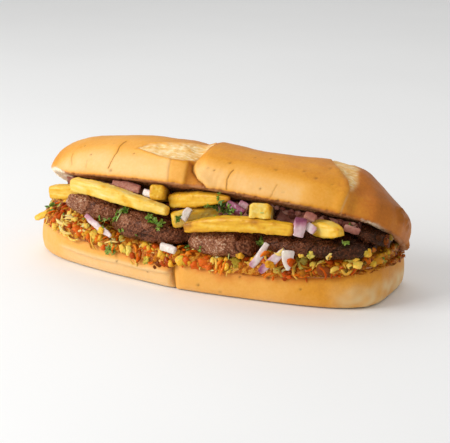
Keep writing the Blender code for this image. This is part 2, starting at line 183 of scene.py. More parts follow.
def remeshed(node, voxel):
    """A node's solid as an even skin of small triangles."""
    work = bpy.data.objects.new("work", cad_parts[node].data.copy())
    bpy.context.scene.collection.objects.link(work)
    even = work.modifiers.new("even", "REMESH")
    even.mode = "VOXEL"
    even.voxel_size = voxel * MM
    mesh = work.evaluated_get(bpy.context.evaluated_depsgraph_get()).to_mesh()
    mesh.calc_loop_triangles()
    points = np.empty(len(mesh.vertices) * 3)
    mesh.vertices.foreach_get("co", points)
    faces = np.empty(len(mesh.loop_triangles) * 3, int)
    mesh.loop_triangles.foreach_get("vertices", faces)
    bpy.data.objects.remove(work)
    return Skin(points.reshape(-1, 3) / MM, faces.reshape(-1, 3))


# ---- Finishes ----


def linear(colour):
    """An sRGB hex colour as linear RGBA."""
    parts = [int(colour[k : k + 2], 16) / 255 for k in (1, 3, 5)]
    return (*(p / 12.92 if p <= 0.04045 else ((p + 0.055) / 1.055) ** 2.4 for p in parts), 1.0)


def per_mm(size):
    """A texture scale whose pattern repeats about every size millimetres."""
    return 1 / (size * MM)


def add(tree, kind, values=None, links=None, stops=None, **settings):
    """Adds a shader node. values and links are keyed by input, and stops are a ramp's places and colours."""
    made = tree.nodes.new("ShaderNode" + kind)
    for name, setting in settings.items():
        setattr(made, name, setting)
    for key, value in (values or {}).items():
        made.inputs[key].default_value = value
    for key, source in (links or {}).items():
        tree.links.new(source, made.inputs[key])
    if stops:
        ramp = made.color_ramp
        while len(ramp.elements) < len(stops):
            ramp.elements.new(0.5)
        for element, (place, colour) in zip(ramp.elements, stops):
            element.position = place
            element.color = linear(colour)
    return made


def new_finish(name):
    """An empty material: its tree, its output and the piece's own coordinates."""
    made = bpy.data.materials.new(name)
    made.use_nodes = True
    tree = made.node_tree
    tree.nodes.clear()
    output = add(tree, "OutputMaterial")
    place = add(tree, "TexCoord").outputs["Object"]
    return made, tree, output, place


MIX_A, MIX_B, MIX_RESULT = 6, 7, 2  # a colour Mix node's sockets


def mottled(tree, place, level, layers, drop=0.0):
    """A painted level that noise varies and drop lowers. Each layer has its size in millimetres, detail,
    roughness and share."""
    for size, detail, roughness, share in layers:
        layer = add(tree, "TexNoise", {"Scale": per_mm(size), "Detail": detail, "Roughness": roughness},
                    {"Vector": place})
        level = add(tree, "Math", {1: share}, {0: layer.outputs["Fac"], 2: level},
                    operation="MULTIPLY_ADD").outputs[0]
    return add(tree, "Math", {1: drop}, {0: level}, operation="SUBTRACT").outputs[0]


def mottled_finish(name, painted, layers, drop, stops, relief, depth, strength, shine):
    """A finish coloured by a painted and mottled level. relief is the size, detail and roughness of its
    texture, and shine the shader's own settings."""
    made, tree, output, place = new_finish(name)
    level = add(tree, "Attribute", attribute_name=painted).outputs["Fac"]
    colour = add(tree, "ValToRGB", links={"Fac": mottled(tree, place, level, layers, drop)}, stops=stops)
    size, detail, roughness = relief
    texture = add(tree, "TexNoise", {"Scale": per_mm(size), "Detail": detail, "Roughness": roughness},
                  {"Vector": place})
    bump = add(tree, "Bump", {"Strength": strength, "Distance": depth * MM},
               {"Height": texture.outputs["Fac"]})
    shader = add(tree, "BsdfPrincipled", shine, {"Base Color": colour.outputs[0], "Normal": bump.outputs[0]})
    tree.links.new(shader.outputs[0], output.inputs["Surface"])
    return made


def baked_crust():
    """Milk-bread crust, oven-baked under a thin glaze: pale and satin low on the sides, deeper and glossier
    on the crown, with matt porous crumb wherever it is torn or cut."""
    made, tree, output, place = new_finish("baked_crust")
    # The painted bake level also carries painted shade, the flour level a painted highlight along the base's
    # ridge, and the dark crack colour also paints shade in clefts and grooves.
    painted = {n: add(tree, "Attribute", attribute_name=n).outputs["Fac"]
               for n in ("bake_and_shade", "stretched", "crumb", "crack", "flour_and_highlight", "stain")}
    level = mottled(tree, place, painted["bake_and_shade"], ((14, 5, 0.6, 0.20), (1.6, 4, 0.65, 0.18)), drop=0.19)
    crust = add(tree, "ValToRGB", links={"Fac": level}, stops=(
        (0.0, "#f0cea0"), (0.18, "#eebe7c"), (0.36, "#ecad54"), (0.55, "#dd962e"), (0.76, "#b96b24"),
        (1.0, "#7b4512")))
    pore = add(tree, "TexNoise", {"Scale": per_mm(0.9), "Detail": 3}, {"Vector": place})
    crumb = add(tree, "ValToRGB", links={"Fac": pore.outputs["Fac"]}, stops=(
        (0.3, "#ecd2a6"), (0.5, "#f8e8ca"), (0.7, "#fdf6e8")))
    long_ways = add(tree, "Mapping", {"Scale": (0.25, 1.0, 1.0)}, {"Vector": place})
    streak = add(tree, "TexNoise", {"Scale": per_mm(1.4), "Detail": 4, "Roughness": 0.6},
                 {"Vector": long_ways.outputs[0]})
    pulled = add(tree, "ValToRGB", links={"Fac": streak.outputs["Fac"]}, stops=(
        (0.3, "#dda856"), (0.46, "#e9c27c"), (0.62, "#f3dcac")))
    torn = add(tree, "Mix", data_type="RGBA",
               links={0: painted["stretched"], MIX_A: crust.outputs[0], MIX_B: pulled.outputs[0]})
    opened = add(tree, "Mix", data_type="RGBA",
                 links={0: painted["crumb"], MIX_A: torn.outputs[MIX_RESULT], MIX_B: crumb.outputs[0]})
    # The flour level also carries a painted highlight along the base's ridge.
    floured_and_lit = add(tree, "Mix", {MIX_B: linear("#e3c793")},
                {0: painted["flour_and_highlight"], MIX_A: opened.outputs[MIX_RESULT]}, data_type="RGBA")
    oiled = add(tree, "Mix", {MIX_B: linear("#e59a48")},
                {0: painted["stain"], MIX_A: floured_and_lit.outputs[MIX_RESULT]},
                data_type="RGBA", blend_type="MULTIPLY")
    split_and_shade = add(tree, "Mix", {MIX_B: linear("#6b3a12")},
                {0: painted["crack"], MIX_A: oiled.outputs[MIX_RESULT]}, data_type="RGBA")
    gloss = add(tree, "MapRange", {"To Min": 0.48, "To Max": 0.9}, {"Value": painted["crumb"]})
    # The real skin's texture is about 0.3 mm, and is drawn at 0.8 mm so that it shows.
    skin = add(tree, "TexNoise", {"Scale": per_mm(0.8), "Detail": 5, "Roughness": 0.7}, {"Vector": place})
    peel = add(tree, "TexNoise", {"Scale": per_mm(2.2), "Detail": 3}, {"Vector": place})
    grain = add(tree, "Math", links={0: skin.outputs["Fac"], 1: peel.outputs["Fac"]}, operation="ADD")
    bump = add(tree, "Bump", {"Strength": 0.5, "Distance": 0.25 * MM}, {"Height": grain.outputs[0]})
    shader = add(tree, "BsdfPrincipled",
                 {"IOR": 1.42, "Specular IOR Level": 0.38, "Specular Tint": linear("#fadcb4"),
                  "Coat Weight": 0.04, "Coat Roughness": 0.35, "Subsurface Weight": 0.08,
                  "Subsurface Radius": (1.0, 0.55, 0.25), "Subsurface Scale": 1.6 * MM},
                 {"Base Color": split_and_shade.outputs[MIX_RESULT], "Roughness": gloss.outputs[0],
                  "Normal": bump.outputs[0]})
    tree.links.new(shader.outputs[0], output.inputs["Surface"])
    return made


def fried_potato():
    """Potato fried in oil: a thin crisp yellow skin, browned along its edges and tips, slightly oily."""
    return mottled_finish(
        "fried_potato", "brown", layers=((6, 4, 0.5, 0.42), (1.1, 4, 0.7, 0.22)), drop=0.2,
        stops=((0.0, "#f0da98"), (0.2, "#edcb62"), (0.42, "#e6b128"), (0.68, "#cc8a10"), (1.0, "#87500c")),
        relief=(0.8, 4, 0.5), depth=0.15, strength=0.5,
        shine={"Roughness": 0.42, "IOR": 1.45, "Specular IOR Level": 0.35,
               "Coat Weight": 0.08, "Coat Roughness": 0.2, "Subsurface Weight": 0.15,
               "Subsurface Radius": (1.0, 0.7, 0.25), "Subsurface Scale": 2.0 * MM})


def raw_red_onion():
    """Raw red onion: wet, half-clear white flesh, with a purple skin that tints one face of each slice."""
    return mottled_finish(
        "raw_red_onion", "skin", layers=((2.0, 3, 0.5, 0.3),), drop=0.0,
        stops=((0.1, "#e2d9c8"), (0.35, "#d6bcbc"), (0.6, "#b9818f"), (0.8, "#8c4560"), (1.0, "#5c2338")),
        relief=(2.0, 3, 0.5), depth=0.1, strength=0.3,
        shine={"Roughness": 0.24, "IOR": 1.38, "Specular IOR Level": 0.4,
               "Coat Weight": 0.15, "Coat Roughness": 0.12, "Subsurface Weight": 0.3,
               "Subsurface Radius": (1.0, 0.8, 0.8), "Subsurface Scale": 2.0 * MM})


def cooked_vegetable(name, stops, roughness, light_depth, mottle_size, depth):
    """A cut vegetable stewed soft in oily sauce: wet, uneven in colour and lit a little from within."""
    return mottled_finish(
        name, "tint", layers=((mottle_size, 4, 0.65, 0.55),), drop=0.27, stops=stops,
        relief=(mottle_size, 4, 0.65), depth=depth, strength=0.5,
        shine={"Roughness": roughness, "IOR": 1.4, "Specular IOR Level": 0.4,
               "Specular Tint": linear("#f0b878"), "Coat Weight": 0.06, "Coat Roughness": 0.08,
               "Subsurface Weight": light_depth, "Subsurface Radius": (1.0, 0.5, 0.18),
               "Subsurface Scale": 2.0 * MM})


def fresh_parsley():
    """Chopped leaf parsley: thin soft green leaves, matt, mottled paler, with a little light through them."""
    return mottled_finish(
        "chopped_parsley", "tint", layers=((1.5, 3, 0.5, 0.5),), drop=0.0,
        stops=((0.15, "#35530d"), (0.42, "#5b801c"), (0.7, "#8eaa3c"), (1.0, "#c0cc80")),
        relief=(1.5, 3, 0.5), depth=0.1, strength=0.4,
        shine={"Roughness": 0.45, "IOR": 1.42, "Subsurface Weight": 0.2,
               "Subsurface Radius": (0.5, 1.0, 0.2), "Subsurface Scale": 1.0 * MM})


def seared_liver():
    """Liver seared in a pan: a dark brown, closely grained crust, wet with oil, with paler grain tops painted
    as glints.
    """
    made, tree, output, place = new_finish("seared_liver")
    glint_share, speck_relief = -0.5, 0.4
    shade = add(tree, "Attribute", attribute_name="grain").outputs["Fac"]
    specked = mottled(tree, place, shade, ((9, 5, 0.6, 0.55), (0.8, 4, 0.75, 0.6)))
    # Its grains are about 0.7 mm, and are drawn at 1.1 mm so that they show.
    pebble = add(tree, "TexVoronoi", {"Scale": per_mm(1.1), "Randomness": 1.0}, {"Vector": place},
                 feature="SMOOTH_F1")
    speck = add(tree, "TexNoise", {"Scale": per_mm(0.8), "Detail": 4, "Roughness": 0.75}, {"Vector": place})
    # The middles of the pebbles are painted paler, partly as glints on the grains.
    level = add(tree, "Math", {1: glint_share}, {0: pebble.outputs["Distance"], 2: specked},
                operation="MULTIPLY_ADD")
    colour = add(tree, "ValToRGB", links={"Fac": level.outputs[0]}, stops=(
        (0.0, "#220e06"), (0.22, "#482312"), (0.42, "#734029"), (0.62, "#9a6648"), (0.86, "#e0bd9f")))
    gloss = add(tree, "MapRange", {"From Min": 0.3, "From Max": 0.7, "To Min": 0.12, "To Max": 0.32},
                {"Value": speck.outputs["Fac"]})
    relief = add(tree, "Math", {1: speck_relief}, {0: speck.outputs["Fac"]}, operation="MULTIPLY")
    hills = add(tree, "Math", links={0: relief.outputs[0], 1: pebble.outputs["Distance"]},
                operation="SUBTRACT")
    bump = add(tree, "Bump", {"Strength": 1.0, "Distance": 0.8 * MM}, {"Height": hills.outputs[0]})
    shader = add(tree, "BsdfPrincipled",
                 {"IOR": 1.45, "Specular IOR Level": 0.4, "Specular Tint": linear("#f0b088"),
                  "Coat Weight": 0.07, "Coat Roughness": 0.08, "Subsurface Weight": 0.05,
                  "Subsurface Radius": (1.0, 0.3, 0.2), "Subsurface Scale": 1.0 * MM},
                 {"Base Color": colour.outputs[0], "Roughness": gloss.outputs[0],
                  "Normal": bump.outputs[0]})
    tree.links.new(shader.outputs[0], output.inputs["Surface"])
    return made


def relish_sauce():
    """Vegetables stewed until they fall apart: a wet, oily mass of yellow, orange and brown grains."""
    made, tree, output, place = new_finish("relish_sauce")
    wisp_share = 0.7
    cell = add(tree, "TexVoronoi", {"Scale": per_mm(2.2)}, {"Vector": place})
    wisp = add(tree, "TexNoise", {"Scale": per_mm(1.7), "Detail": 5, "Roughness": 0.65}, {"Vector": place})
    mixed = add(tree, "Mix", {0: wisp_share}, {MIX_A: cell.outputs["Color"], MIX_B: wisp.outputs["Fac"]},
                data_type="RGBA")
    # The mass is coloured darker than the bits on it, partly as painted shade in the hollows between them.
    colour = add(tree, "ValToRGB", links={"Fac": mixed.outputs[MIX_RESULT]}, stops=(
        (0.26, "#5c2404"), (0.40, "#8a3f08"), (0.49, "#ac5a0e"), (0.56, "#c4781c"), (0.64, "#d29c3c"),
        (0.75, "#a87c26")))
    relief = add(tree, "Math", links={0: wisp.outputs["Fac"], 1: cell.outputs["Distance"]},
                 operation="SUBTRACT")
    bump = add(tree, "Bump", {"Strength": 0.9, "Distance": 0.5 * MM}, {"Height": relief.outputs[0]})
    shader = add(tree, "BsdfPrincipled",
                 {"Roughness": 0.34, "IOR": 1.4, "Specular IOR Level": 0.4,
                  "Specular Tint": linear("#f0b070"), "Coat Weight": 0.04, "Coat Roughness": 0.08,
                  "Subsurface Weight": 0.2, "Subsurface Radius": (1.0, 0.45, 0.15),
                  "Subsurface Scale": 1.5 * MM},
                 {"Base Color": colour.outputs[0], "Normal": bump.outputs[0]})
    tree.links.new(shader.outputs[0], output.inputs["Surface"])
    return made


# ---- The roll ----


def unrolled(points, lid):
    """Where points of the crust lie on the straight, level roll."""
    straight = points - MOVED_TO_MIDDLE
    if lid:
        angle = math.radians(LID_TILT)
        moved = straight - LID_BACK_EDGE
        straight = np.stack([
            moved[:, 0],
            moved[:, 1] * math.cos(angle) - moved[:, 2] * math.sin(angle) + ROLL_HALF_WIDTH,
            moved[:, 1] * math.sin(angle) + moved[:, 2] * math.cos(angle)], 1)
    half = math.radians(BEND / 2)
    along = straight[:, 0] / math.cos(half)
    soft = np.sqrt(along**2 + BEND_SOFTNESS**2) - BEND_SOFTNESS
    return np.stack([along, straight[:, 1] - soft * math.sin(half) + BEND_FORWARD, straight[:, 2]], 1)


def off_middle(straight):
    """How far points lie from the roll's middle line, across it or past its end."""
    past = np.maximum(np.abs(straight[:, 0]) - (ROLL_HALF_LENGTH - ROLL_HALF_WIDTH), 0)
    return np.hypot(past, straight[:, 1])


def round_heart(straight):
    """Degrees up from the level of the heart line, seen from that line."""
    return np.degrees(np.arctan2(straight[:, 2] - HEART_HEIGHT, off_middle(straight)))


def line_distance(x, turn, path):
    """Distance along the crust from a line given as (x, degrees) points."""
    at = np.stack([x, turn * MM_PER_DEGREE], 1)
    corners = np.array(path, float) * (1, MM_PER_DEGREE)
    best = np.full(len(x), 1e9)
    for a, b in zip(corners, corners[1:]):
        share = np.clip((at - a) @ (b - a) / ((b - a) @ (b - a)), 0, 1)
        best = np.minimum(best, np.linalg.norm(at - a - share[:, None] * (b - a), axis=1))
    return best


# Lines on the lid's crust, as millimetres along the roll and degrees up from the heart line.
LONG_SLASH_TOP = (
    (-43.5, 19), (-41.5, 20.6), (-37, 24.3), (-29, 27.7), (-21, 31), (-13, 33.3), (-6, 37), (2, 40),
    (9, 43),
)
LONG_SLASH_FOOT = (
    (-43.5, 18.4), (-41, 18.6), (-34, 16.0), (-23.4, 12.8), (-13.7, 11.3), (-5.4, 11.7), (0.2, 15.0),
    (2.3, 22.0), (6.4, 30), (9, 40),
)
CLEFT = (
    (4, 62), (7.5, 45), (7.0, 34.4), (5.6, 26), (2.4, 21), (0.8, 15.5), (1.2, 8.8), (2.0, 4.0),
    (3.9, 0.0), (7.6, -5), (12, -8.0), (15, -12),
)
FLAP_CREASE = ((-14.4, 11.5), (-13.7, 9.4), (-13.4, 5.4), (-12.6, -0.1), (-12.0, -5.3), (-12.3, -11))
FLAP_EDGE = ((-2.2, 13), (-1.6, 5), (-1.2, 0), (-1.4, -5), (-1.0, -11))
END_SLASH_LIP = (
    (72, 78), (80, 56), (85.3, 44), (92.8, 31), (97.1, 23.4), (99.8, 14.5), (100.0, 7.1), (99.3, -2.1),
    (98.0, -12),
)
END_SLASH_FAR = ((80, 88), (92, 62), (96.4, 50.8), (98.8, 34.8), (101.2, 23), (100.9, 14.5))
PALE_BAND_TOP = (
    (-112, -6), (-105, 0), (-88, 10), (-71, 12), (-46, 12.5), (-29.5, 10), (4.4, 12.5), (17.8, 8.5),
    (41, 7), (60, 7), (72, 6), (84, 4),
)
# Each crack: how strong it is, then its line.
CRACKS = (
    (1.0, (-55.5, 27.5), (-56.3, 25.0), (-57.3, 19.1), (-57.0, 12.1), (-58.0, 6.0), (-58.7, 1.8),
     (-59.6, -3.8)),
    (0.55, (-95.3, 9.6), (-94.9, 4.7), (-92.6, -2.7)),
    (0.3, (-79.3, 2.5), (-79.0, -2.0), (-78.7, -5.5)),
    (1.0, (29.3, 8.6), (28.3, 5.0), (28.0, 2.4), (27.4, -0.8), (28.0, -5.0), (28.2, -8.8)),
    (0.45, (58.7, 2.5), (57.8, -1.0), (56.9, -5.0), (56.0, -9.0)),
)
PITS = (
    (-77.8, 8.6, 0.7), (25.4, 15.2, 0.8), (54.5, 16.7, 0.7), (79.6, 16.7, 0.8), (49.3, -3.5, 0.7),
    (13.6, 6.6, 0.5), (-43.3, 12.5, 0.6), (71.2, 21.2, 0.7), (-64.0, 24.0, 0.5), (38.0, 27.0, 0.5),
    (17.6, 5.6, 0.5), (89.5, 13.9, 0.5), (63.3, -2.7, 0.5), (-57.1, -5.8, 1.0), (47.0, 30.0, 0.6),
    (84.0, 33.0, 0.8), (-88.0, 20.0, 0.5),
)
# Blisters at the right end, and a flake hanging from the rim: middle on the straight roll, reach and height.
END_BLISTERS = (
    ((125.0, -11.5, 13.4), 4.2, 2.8), ((127.2, -6.0, 10.6), 3.8, 2.6), ((126.4, -11.0, 8.2), 3.4, 1.6),
    ((127.9, 0.0, 8.0), 3.0, 1.4), ((124.6, 14.5, -0.6), 4.4, 2.2),
)

# Lines and marks on the base's crust, as millimetres along the roll and height.
BASE_CLEFT = ((-2.4, 19.5), (-2.0, 13.8), (-1.6, 5.8), (-1.0, 0.0))
BASE_RIDGE = (
    (-88, 11.5), (-75.6, 10.7), (-58, 10.4), (-41.5, 11.2), (-25.5, 10.4), (-10, 11.2), (-3.4, 11.4),
)
RELISH_EDGE = (
    (-125, 22.0), (-112, 22.8), (-96, 20.8), (-83, 19.6), (-72, 19.2), (-56, 17.8), (-45, 16.8),
    (-30, 16.2), (-16, 14.6), (-4, 15.0), (1, 18.2), (12, 17.4), (23, 16.5), (45, 16.2), (69, 17.2),
    (84, 18.8), (96, 20.6), (104, 22.2), (111, 24.2), (118, 25.8), (126, 26.6),
)
BASE_SPOTS = ((16.6, 6.3, 0.9), (44.1, 15.1, 0.8), (61.7, 16.6, 1.3), (-43.1, 11.5, 0.8), (31.0, 3.5, 0.7),
              (-20.0, 8.5, 0.6), (82.0, 12.0, 0.6))


def between(x, turn, foot, top):
    """0 at the foot line and 1 at the top line."""
    low = np.interp(x, *np.array(foot).T)
    high = np.interp(x, *np.array(top).T)
    return (turn - low) / np.maximum(high - low, 0.5)


def crumb_relief(points, open_face):
    """The torn texture of cut bread: open pores of two sizes, and a soft nap."""
    depth = np.zeros(len(points))
    where = open_face > 0.05
    inside = points[where]
    large = smoothstep(0.42, 0.12, grain_field(inside, 4.2)) * 1.2
    small = smoothstep(0.45, 0.15, grain_field(inside, 1.9, 3.0)) * 0.5
    depth[where] = (noise_field(inside, 1.3, 5.0) * 0.25 - large - small) * open_face[where]
    return depth


def at_turn(path, turn):
    """Where along the roll a line lies at each number of degrees."""
    rising = np.array(path, float)[::-1] if path[0][1] > path[-1][1] else np.array(path, float)
    return np.interp(turn, rising[:, 1], rising[:, 0])


# What stands out of the crust or is sunk into it, in millimetres.
SLASH_SUNK, SLASH_FIBRES, SLASH_RAGS = 0.9, 0.45, 0.35
SLASH_FOOT_LIP, SLASH_TOP_LIP = 0.9, 0.5
CLEFT_LIP, CLEFT_SUNK, CLEFT_SUNK_LOW = 1.3, 0.5, 1.2
FLAP_STRIP_SUNK, FLAP_SUNK, CREASE_SUNK = 1.1, 0.35, 0.5
END_SLASH_RAISED, END_SLASH_STEP, END_SLASH_SUNK, END_SLASH_FIBRES = 0.7, 0.7, 0.4, 0.35
CRACK_SUNK, PIT_SUNK, WRINKLES = 0.35, 0.4, 0.22
BASE_CLEFT_LIP, BASE_CLEFT_SUNK, SPOT_SUNK = 0.8, 1.5, 0.3
RIDGE_RAISED, BELOW_RIDGE_SUNK, BASE_RIM_SWELL = 1.5, 0.6, 1.2

# How far the crust is baked, where 0 is pale and 1 is dark brown. The same level also carries painted shade
# in grooves and under the lid.
LID_SIDE_BAKE, BACK_BAKE, GOLDEN_BAKE, UNDERSIDE_SHADE_BAKE = 0.20, 0.46, 0.50, 0.85
BASE_BAKE, DARKEST_BAKE = 0.30, 1.2

ROLL_VOXEL = 1.12
CRUST_EASING = 40  # rounds that take the facets out of the crust
MARK_REACH = 2.0  # how far round a mark the skin is made finer
BASE_MARK_REACH = 2.5


def make_lid(finish):
    """The top of the roll, with a long slash, a cleft beside a torn flap, and a slash at its right end."""
    skin = remeshed("roll_lid", ROLL_VOXEL)
    skin.ease(CRUST_EASING)
    straight = unrolled(skin.points, lid=True)
    x, turn = straight[:, 0], round_heart(straight)
    lines = [LONG_SLASH_TOP, LONG_SLASH_FOOT, CLEFT, FLAP_CREASE, END_SLASH_LIP]
    lines += [crack[1:] for crack in CRACKS]
    near = np.min([line_distance(x, turn, line) for line in lines], axis=0) < MARK_REACH
    near &= (straight[:, 1] < 2) & (skin.normals()[:, 2] > -0.6)
    skin.refine(near)

    # Where each part and mark of the lid is: shares from 0 to 1, or distances in millimetres.
    straight = unrolled(skin.points, lid=True)
    x, turn = straight[:, 0], round_heart(straight)
    front = smoothstep(14.0, 4.0, straight[:, 1])
    level_normals = unrolled(skin.points + skin.normals(), lid=True) - straight
    left_tip, right_tip = smoothstep(-98.0, -108.0, x), smoothstep(96.0, 112.0, x)
    turned = 0.62 - 0.3 * left_tip - 0.12 * right_tip
    above_rim = straight[:, 2] - sum(rise * bell(x - at, reach) for at, reach, rise in RIM_LIFTS)
    under = smoothstep(turned, turned + 0.28, -level_normals[:, 2]) * smoothstep(7.0, 3.0, above_rim)
    cleft = line_distance(x, turn, CLEFT)
    right_of_cleft = smoothstep(-0.6, 0.6, x - at_turn(CLEFT, turn))
    left_of_cleft = 1 - right_of_cleft
    low_cleft = smoothstep(27.0, 20.0, turn)
    slash = between(x, turn, LONG_SLASH_FOOT, LONG_SLASH_TOP)
    in_slash = smoothstep(-0.06, 0.12, slash) * smoothstep(1.25, 0.85, slash) * front * left_of_cleft
    in_slash *= smoothstep(-43.5, -41.0, x)
    foot = line_distance(x, turn, LONG_SLASH_FOOT)
    top = line_distance(x, turn, LONG_SLASH_TOP)
    crease = line_distance(x, turn, FLAP_CREASE)
    past_crease = x - at_turn(FLAP_CREASE, turn)
    in_flap = smoothstep(-0.8, 0.8, past_crease) * left_of_cleft * smoothstep(14.0, 10.5, turn)
    in_strip = in_flap * smoothstep(-1.0, 0.8, x - at_turn(FLAP_EDGE, turn))
    lip = line_distance(x, turn, END_SLASH_LIP)
    right_of_lip = smoothstep(-0.7, 0.7, x - at_turn(END_SLASH_LIP, turn))
    wedge = right_of_lip * smoothstep(1.5, -1.5, x - at_turn(END_SLASH_FAR, turn))
    wedge = wedge * smoothstep(9.0, 17.0, turn) * smoothstep(20.0, 8.0, straight[:, 1])
    wander = 0.5 * noise_field(straight, 3.0, 11.0)
    cracks = np.max([crack[0] * bell(line_distance(x + wander, turn, crack[1:]), 0.4 + 0.15 * wander)
                     for crack in CRACKS], axis=0)
    shades = np.max([crack[0] * bell(line_distance(x, turn, crack[1:]), 1.6) for crack in CRACKS], axis=0)
    pits = np.max([bell(np.hypot(x - px, (turn - pt) * MM_PER_DEGREE), r) for px, pt, r in PITS], axis=0)
    blisters = [np.linalg.norm(straight - np.array(spot), axis=1) / reach for spot, reach, _ in END_BLISTERS]
    fibre = noise_field(straight, 1.1, 1.0, (4.5, 1, 1))
    ragged = noise_field(straight, 2.6, 2.0)

    # How high its skin stands there.
    height = 0.55 * noise_field(straight, 22.0, 3.0) + 0.18 * noise_field(straight, 7.0, 4.0)
    height += 0.07 * noise_field(straight, 2.2, 6.0)
    wrinkled = smoothstep(1.0, 8.0, x) * smoothstep(50.0, 25.0, x) * smoothstep(18.0, 6.0, turn) * front
    height += WRINKLES * wrinkled * noise_field(straight, 2.0, 12.0, (1, 6, 6))
    below_slash = smoothstep(0.1, -0.2, slash) * smoothstep(-48, -38, x) * smoothstep(0, -3, x)
    height += front * SLASH_FOOT_LIP * bell(foot - 1.0, 1.3) * below_slash
    above_slash = smoothstep(0.9, 1.2, slash) * smoothstep(-46, -36, x) * left_of_cleft
    height += front * SLASH_TOP_LIP * bell(top - 1.2, 1.6) * above_slash
    height -= in_slash * (SLASH_SUNK + SLASH_FIBRES * fibre + SLASH_RAGS * ragged)
    height += front * right_of_cleft * CLEFT_LIP * bell(cleft - 2.6, 2.8) * (0.35 + 0.65 * low_cleft)
    height -= front * (CLEFT_SUNK + CLEFT_SUNK_LOW * low_cleft) * bell(cleft, 0.9)
    height -= front * (FLAP_STRIP_SUNK * in_strip + FLAP_SUNK * in_flap * bell(past_crease - 5.0, 4.0))
    height -= front * CREASE_SUNK * bell(crease, 0.7)
    raised_lip = bell(lip - 2.2, 2.6) * (1 - right_of_lip) * smoothstep(52.0, 28.0, turn)
    step_down = bell(lip - 0.6, 0.9) * right_of_lip * smoothstep(4.0, 20.0, turn)
    height += front * (END_SLASH_RAISED * raised_lip - END_SLASH_STEP * step_down)
    height -= wedge * (END_SLASH_SUNK + END_SLASH_FIBRES * fibre)
    height -= front * (CRACK_SUNK * cracks + PIT_SUNK * pits)
    height *= 1 - under
    height += crumb_relief(straight, under)
    for away, (_, _, rise) in zip(blisters, END_BLISTERS):
        height += rise * smoothstep(1.2, 0.2, away) * (1 + 0.9 * ragged)
    skin.raised(height)

    # How it is baked, torn, cut and cracked, with painted shade in its grooves and on its underside.
    band = np.interp(x, *np.array(PALE_BAND_TOP).T)
    drift = 3.0 * noise_field(straight, 24.0, 8.0)
    crown = smoothstep(-7.0, 12.0, turn + drift - band)
    golden = smoothstep(60.0, 84.0, x)
    bake_and_shade = LID_SIDE_BAKE + 0.035 * smoothstep(-60.0, 20.0, x)
    bake_and_shade = bake_and_shade + crown * (0.28 + 0.08 * smoothstep(-60.0, 10.0, x))
    bake_and_shade = np.maximum(bake_and_shade, golden * (GOLDEN_BAKE + 0.06 * crown))
    bake_and_shade += 0.19 * smoothstep(84.0, 122.0, x) + 0.06 * smoothstep(30.0, 50.0, turn)
    bake_and_shade += 0.10 * smoothstep(-98.0, -112.0, x) + 0.07 * right_of_lip * front * (1 - wedge)
    # The flap is baked browner, and the strip beside the cleft is darkened as painted shade.
    bake_and_shade += 0.20 * in_flap * front + 0.24 * in_strip * front
    bake_and_shade += 0.14 * bell(foot - 0.5, 1.0) * front * smoothstep(0.1, -0.1, slash)
    # The soft band round each crack and the right side of the cleft are darkened as painted shade.
    bake_and_shade += 0.10 * shades * front + 0.12 * bell(cleft - 1.2, 1.2) * right_of_cleft * front
    bake_and_shade = np.where(straight[:, 1] > 0, np.maximum(bake_and_shade, BACK_BAKE + 0.10 * crown), bake_and_shade)
    bake_and_shade += 0.16 * smoothstep(3.0, 0.8, above_rim) * (1 - left_tip)
    blistered = np.max([smoothstep(1.5, 0.5, away) for away in blisters], axis=0)
    bake_and_shade += 0.09 * blistered * (1 + 0.9 * ragged)
    inside_rim = ROLL_HALF_WIDTH - off_middle(straight)
    rim = smoothstep(4.6, 2.8, inside_rim + 2.0 * ragged) * smoothstep(124.0, 114.0, x)
    tip_edge = left_tip * smoothstep(0.42, 0.75, -level_normals[:, 2] + 0.1 * ragged)
    # The dark crack colour also paints shade: along the lower cleft, in the crease, and over the strip beside
    # the cleft.
    cleft_line = (0.2 + 0.45 * low_cleft) * bell(cleft, 0.7) * smoothstep(15.0, 10.0, turn)
    split_and_shade = 0.8 * cracks + 0.7 * pits + 0.25 * bell(crease, 0.5) + cleft_line + 0.2 * in_strip
    skin.paint = {
        # The lid's underside is painted dark as shade under the lid: a dark bake level, little crumb colour
        # away from its tips, and a faint stain that is partly oil and partly painted shade.
        "bake_and_shade": np.clip(bake_and_shade * (1 - under) + UNDERSIDE_SHADE_BAKE * under, 0, DARKEST_BAKE),
        "stretched": np.clip(in_slash * (0.85 + 0.4 * ragged) + wedge * (0.7 + 0.4 * ragged), 0, 1),
        "crumb": np.clip(under * (0.12 + 0.88 * left_tip + 0.45 * right_tip * rim) + tip_edge, 0, 1),
        "crack": np.clip(front * split_and_shade, 0, 1),
        "flour_and_highlight": 0.3 * bell(lip, 0.5) * front * smoothstep(12.0, 2.0, turn),
        "stain": 0.25 * smoothstep(0.2, 0.6, noise_field(straight, 9.0, 9.0)) * under,
    }
    skin.piece("bread_lid", "crust", finish, ("roll_lid",))
    return skin


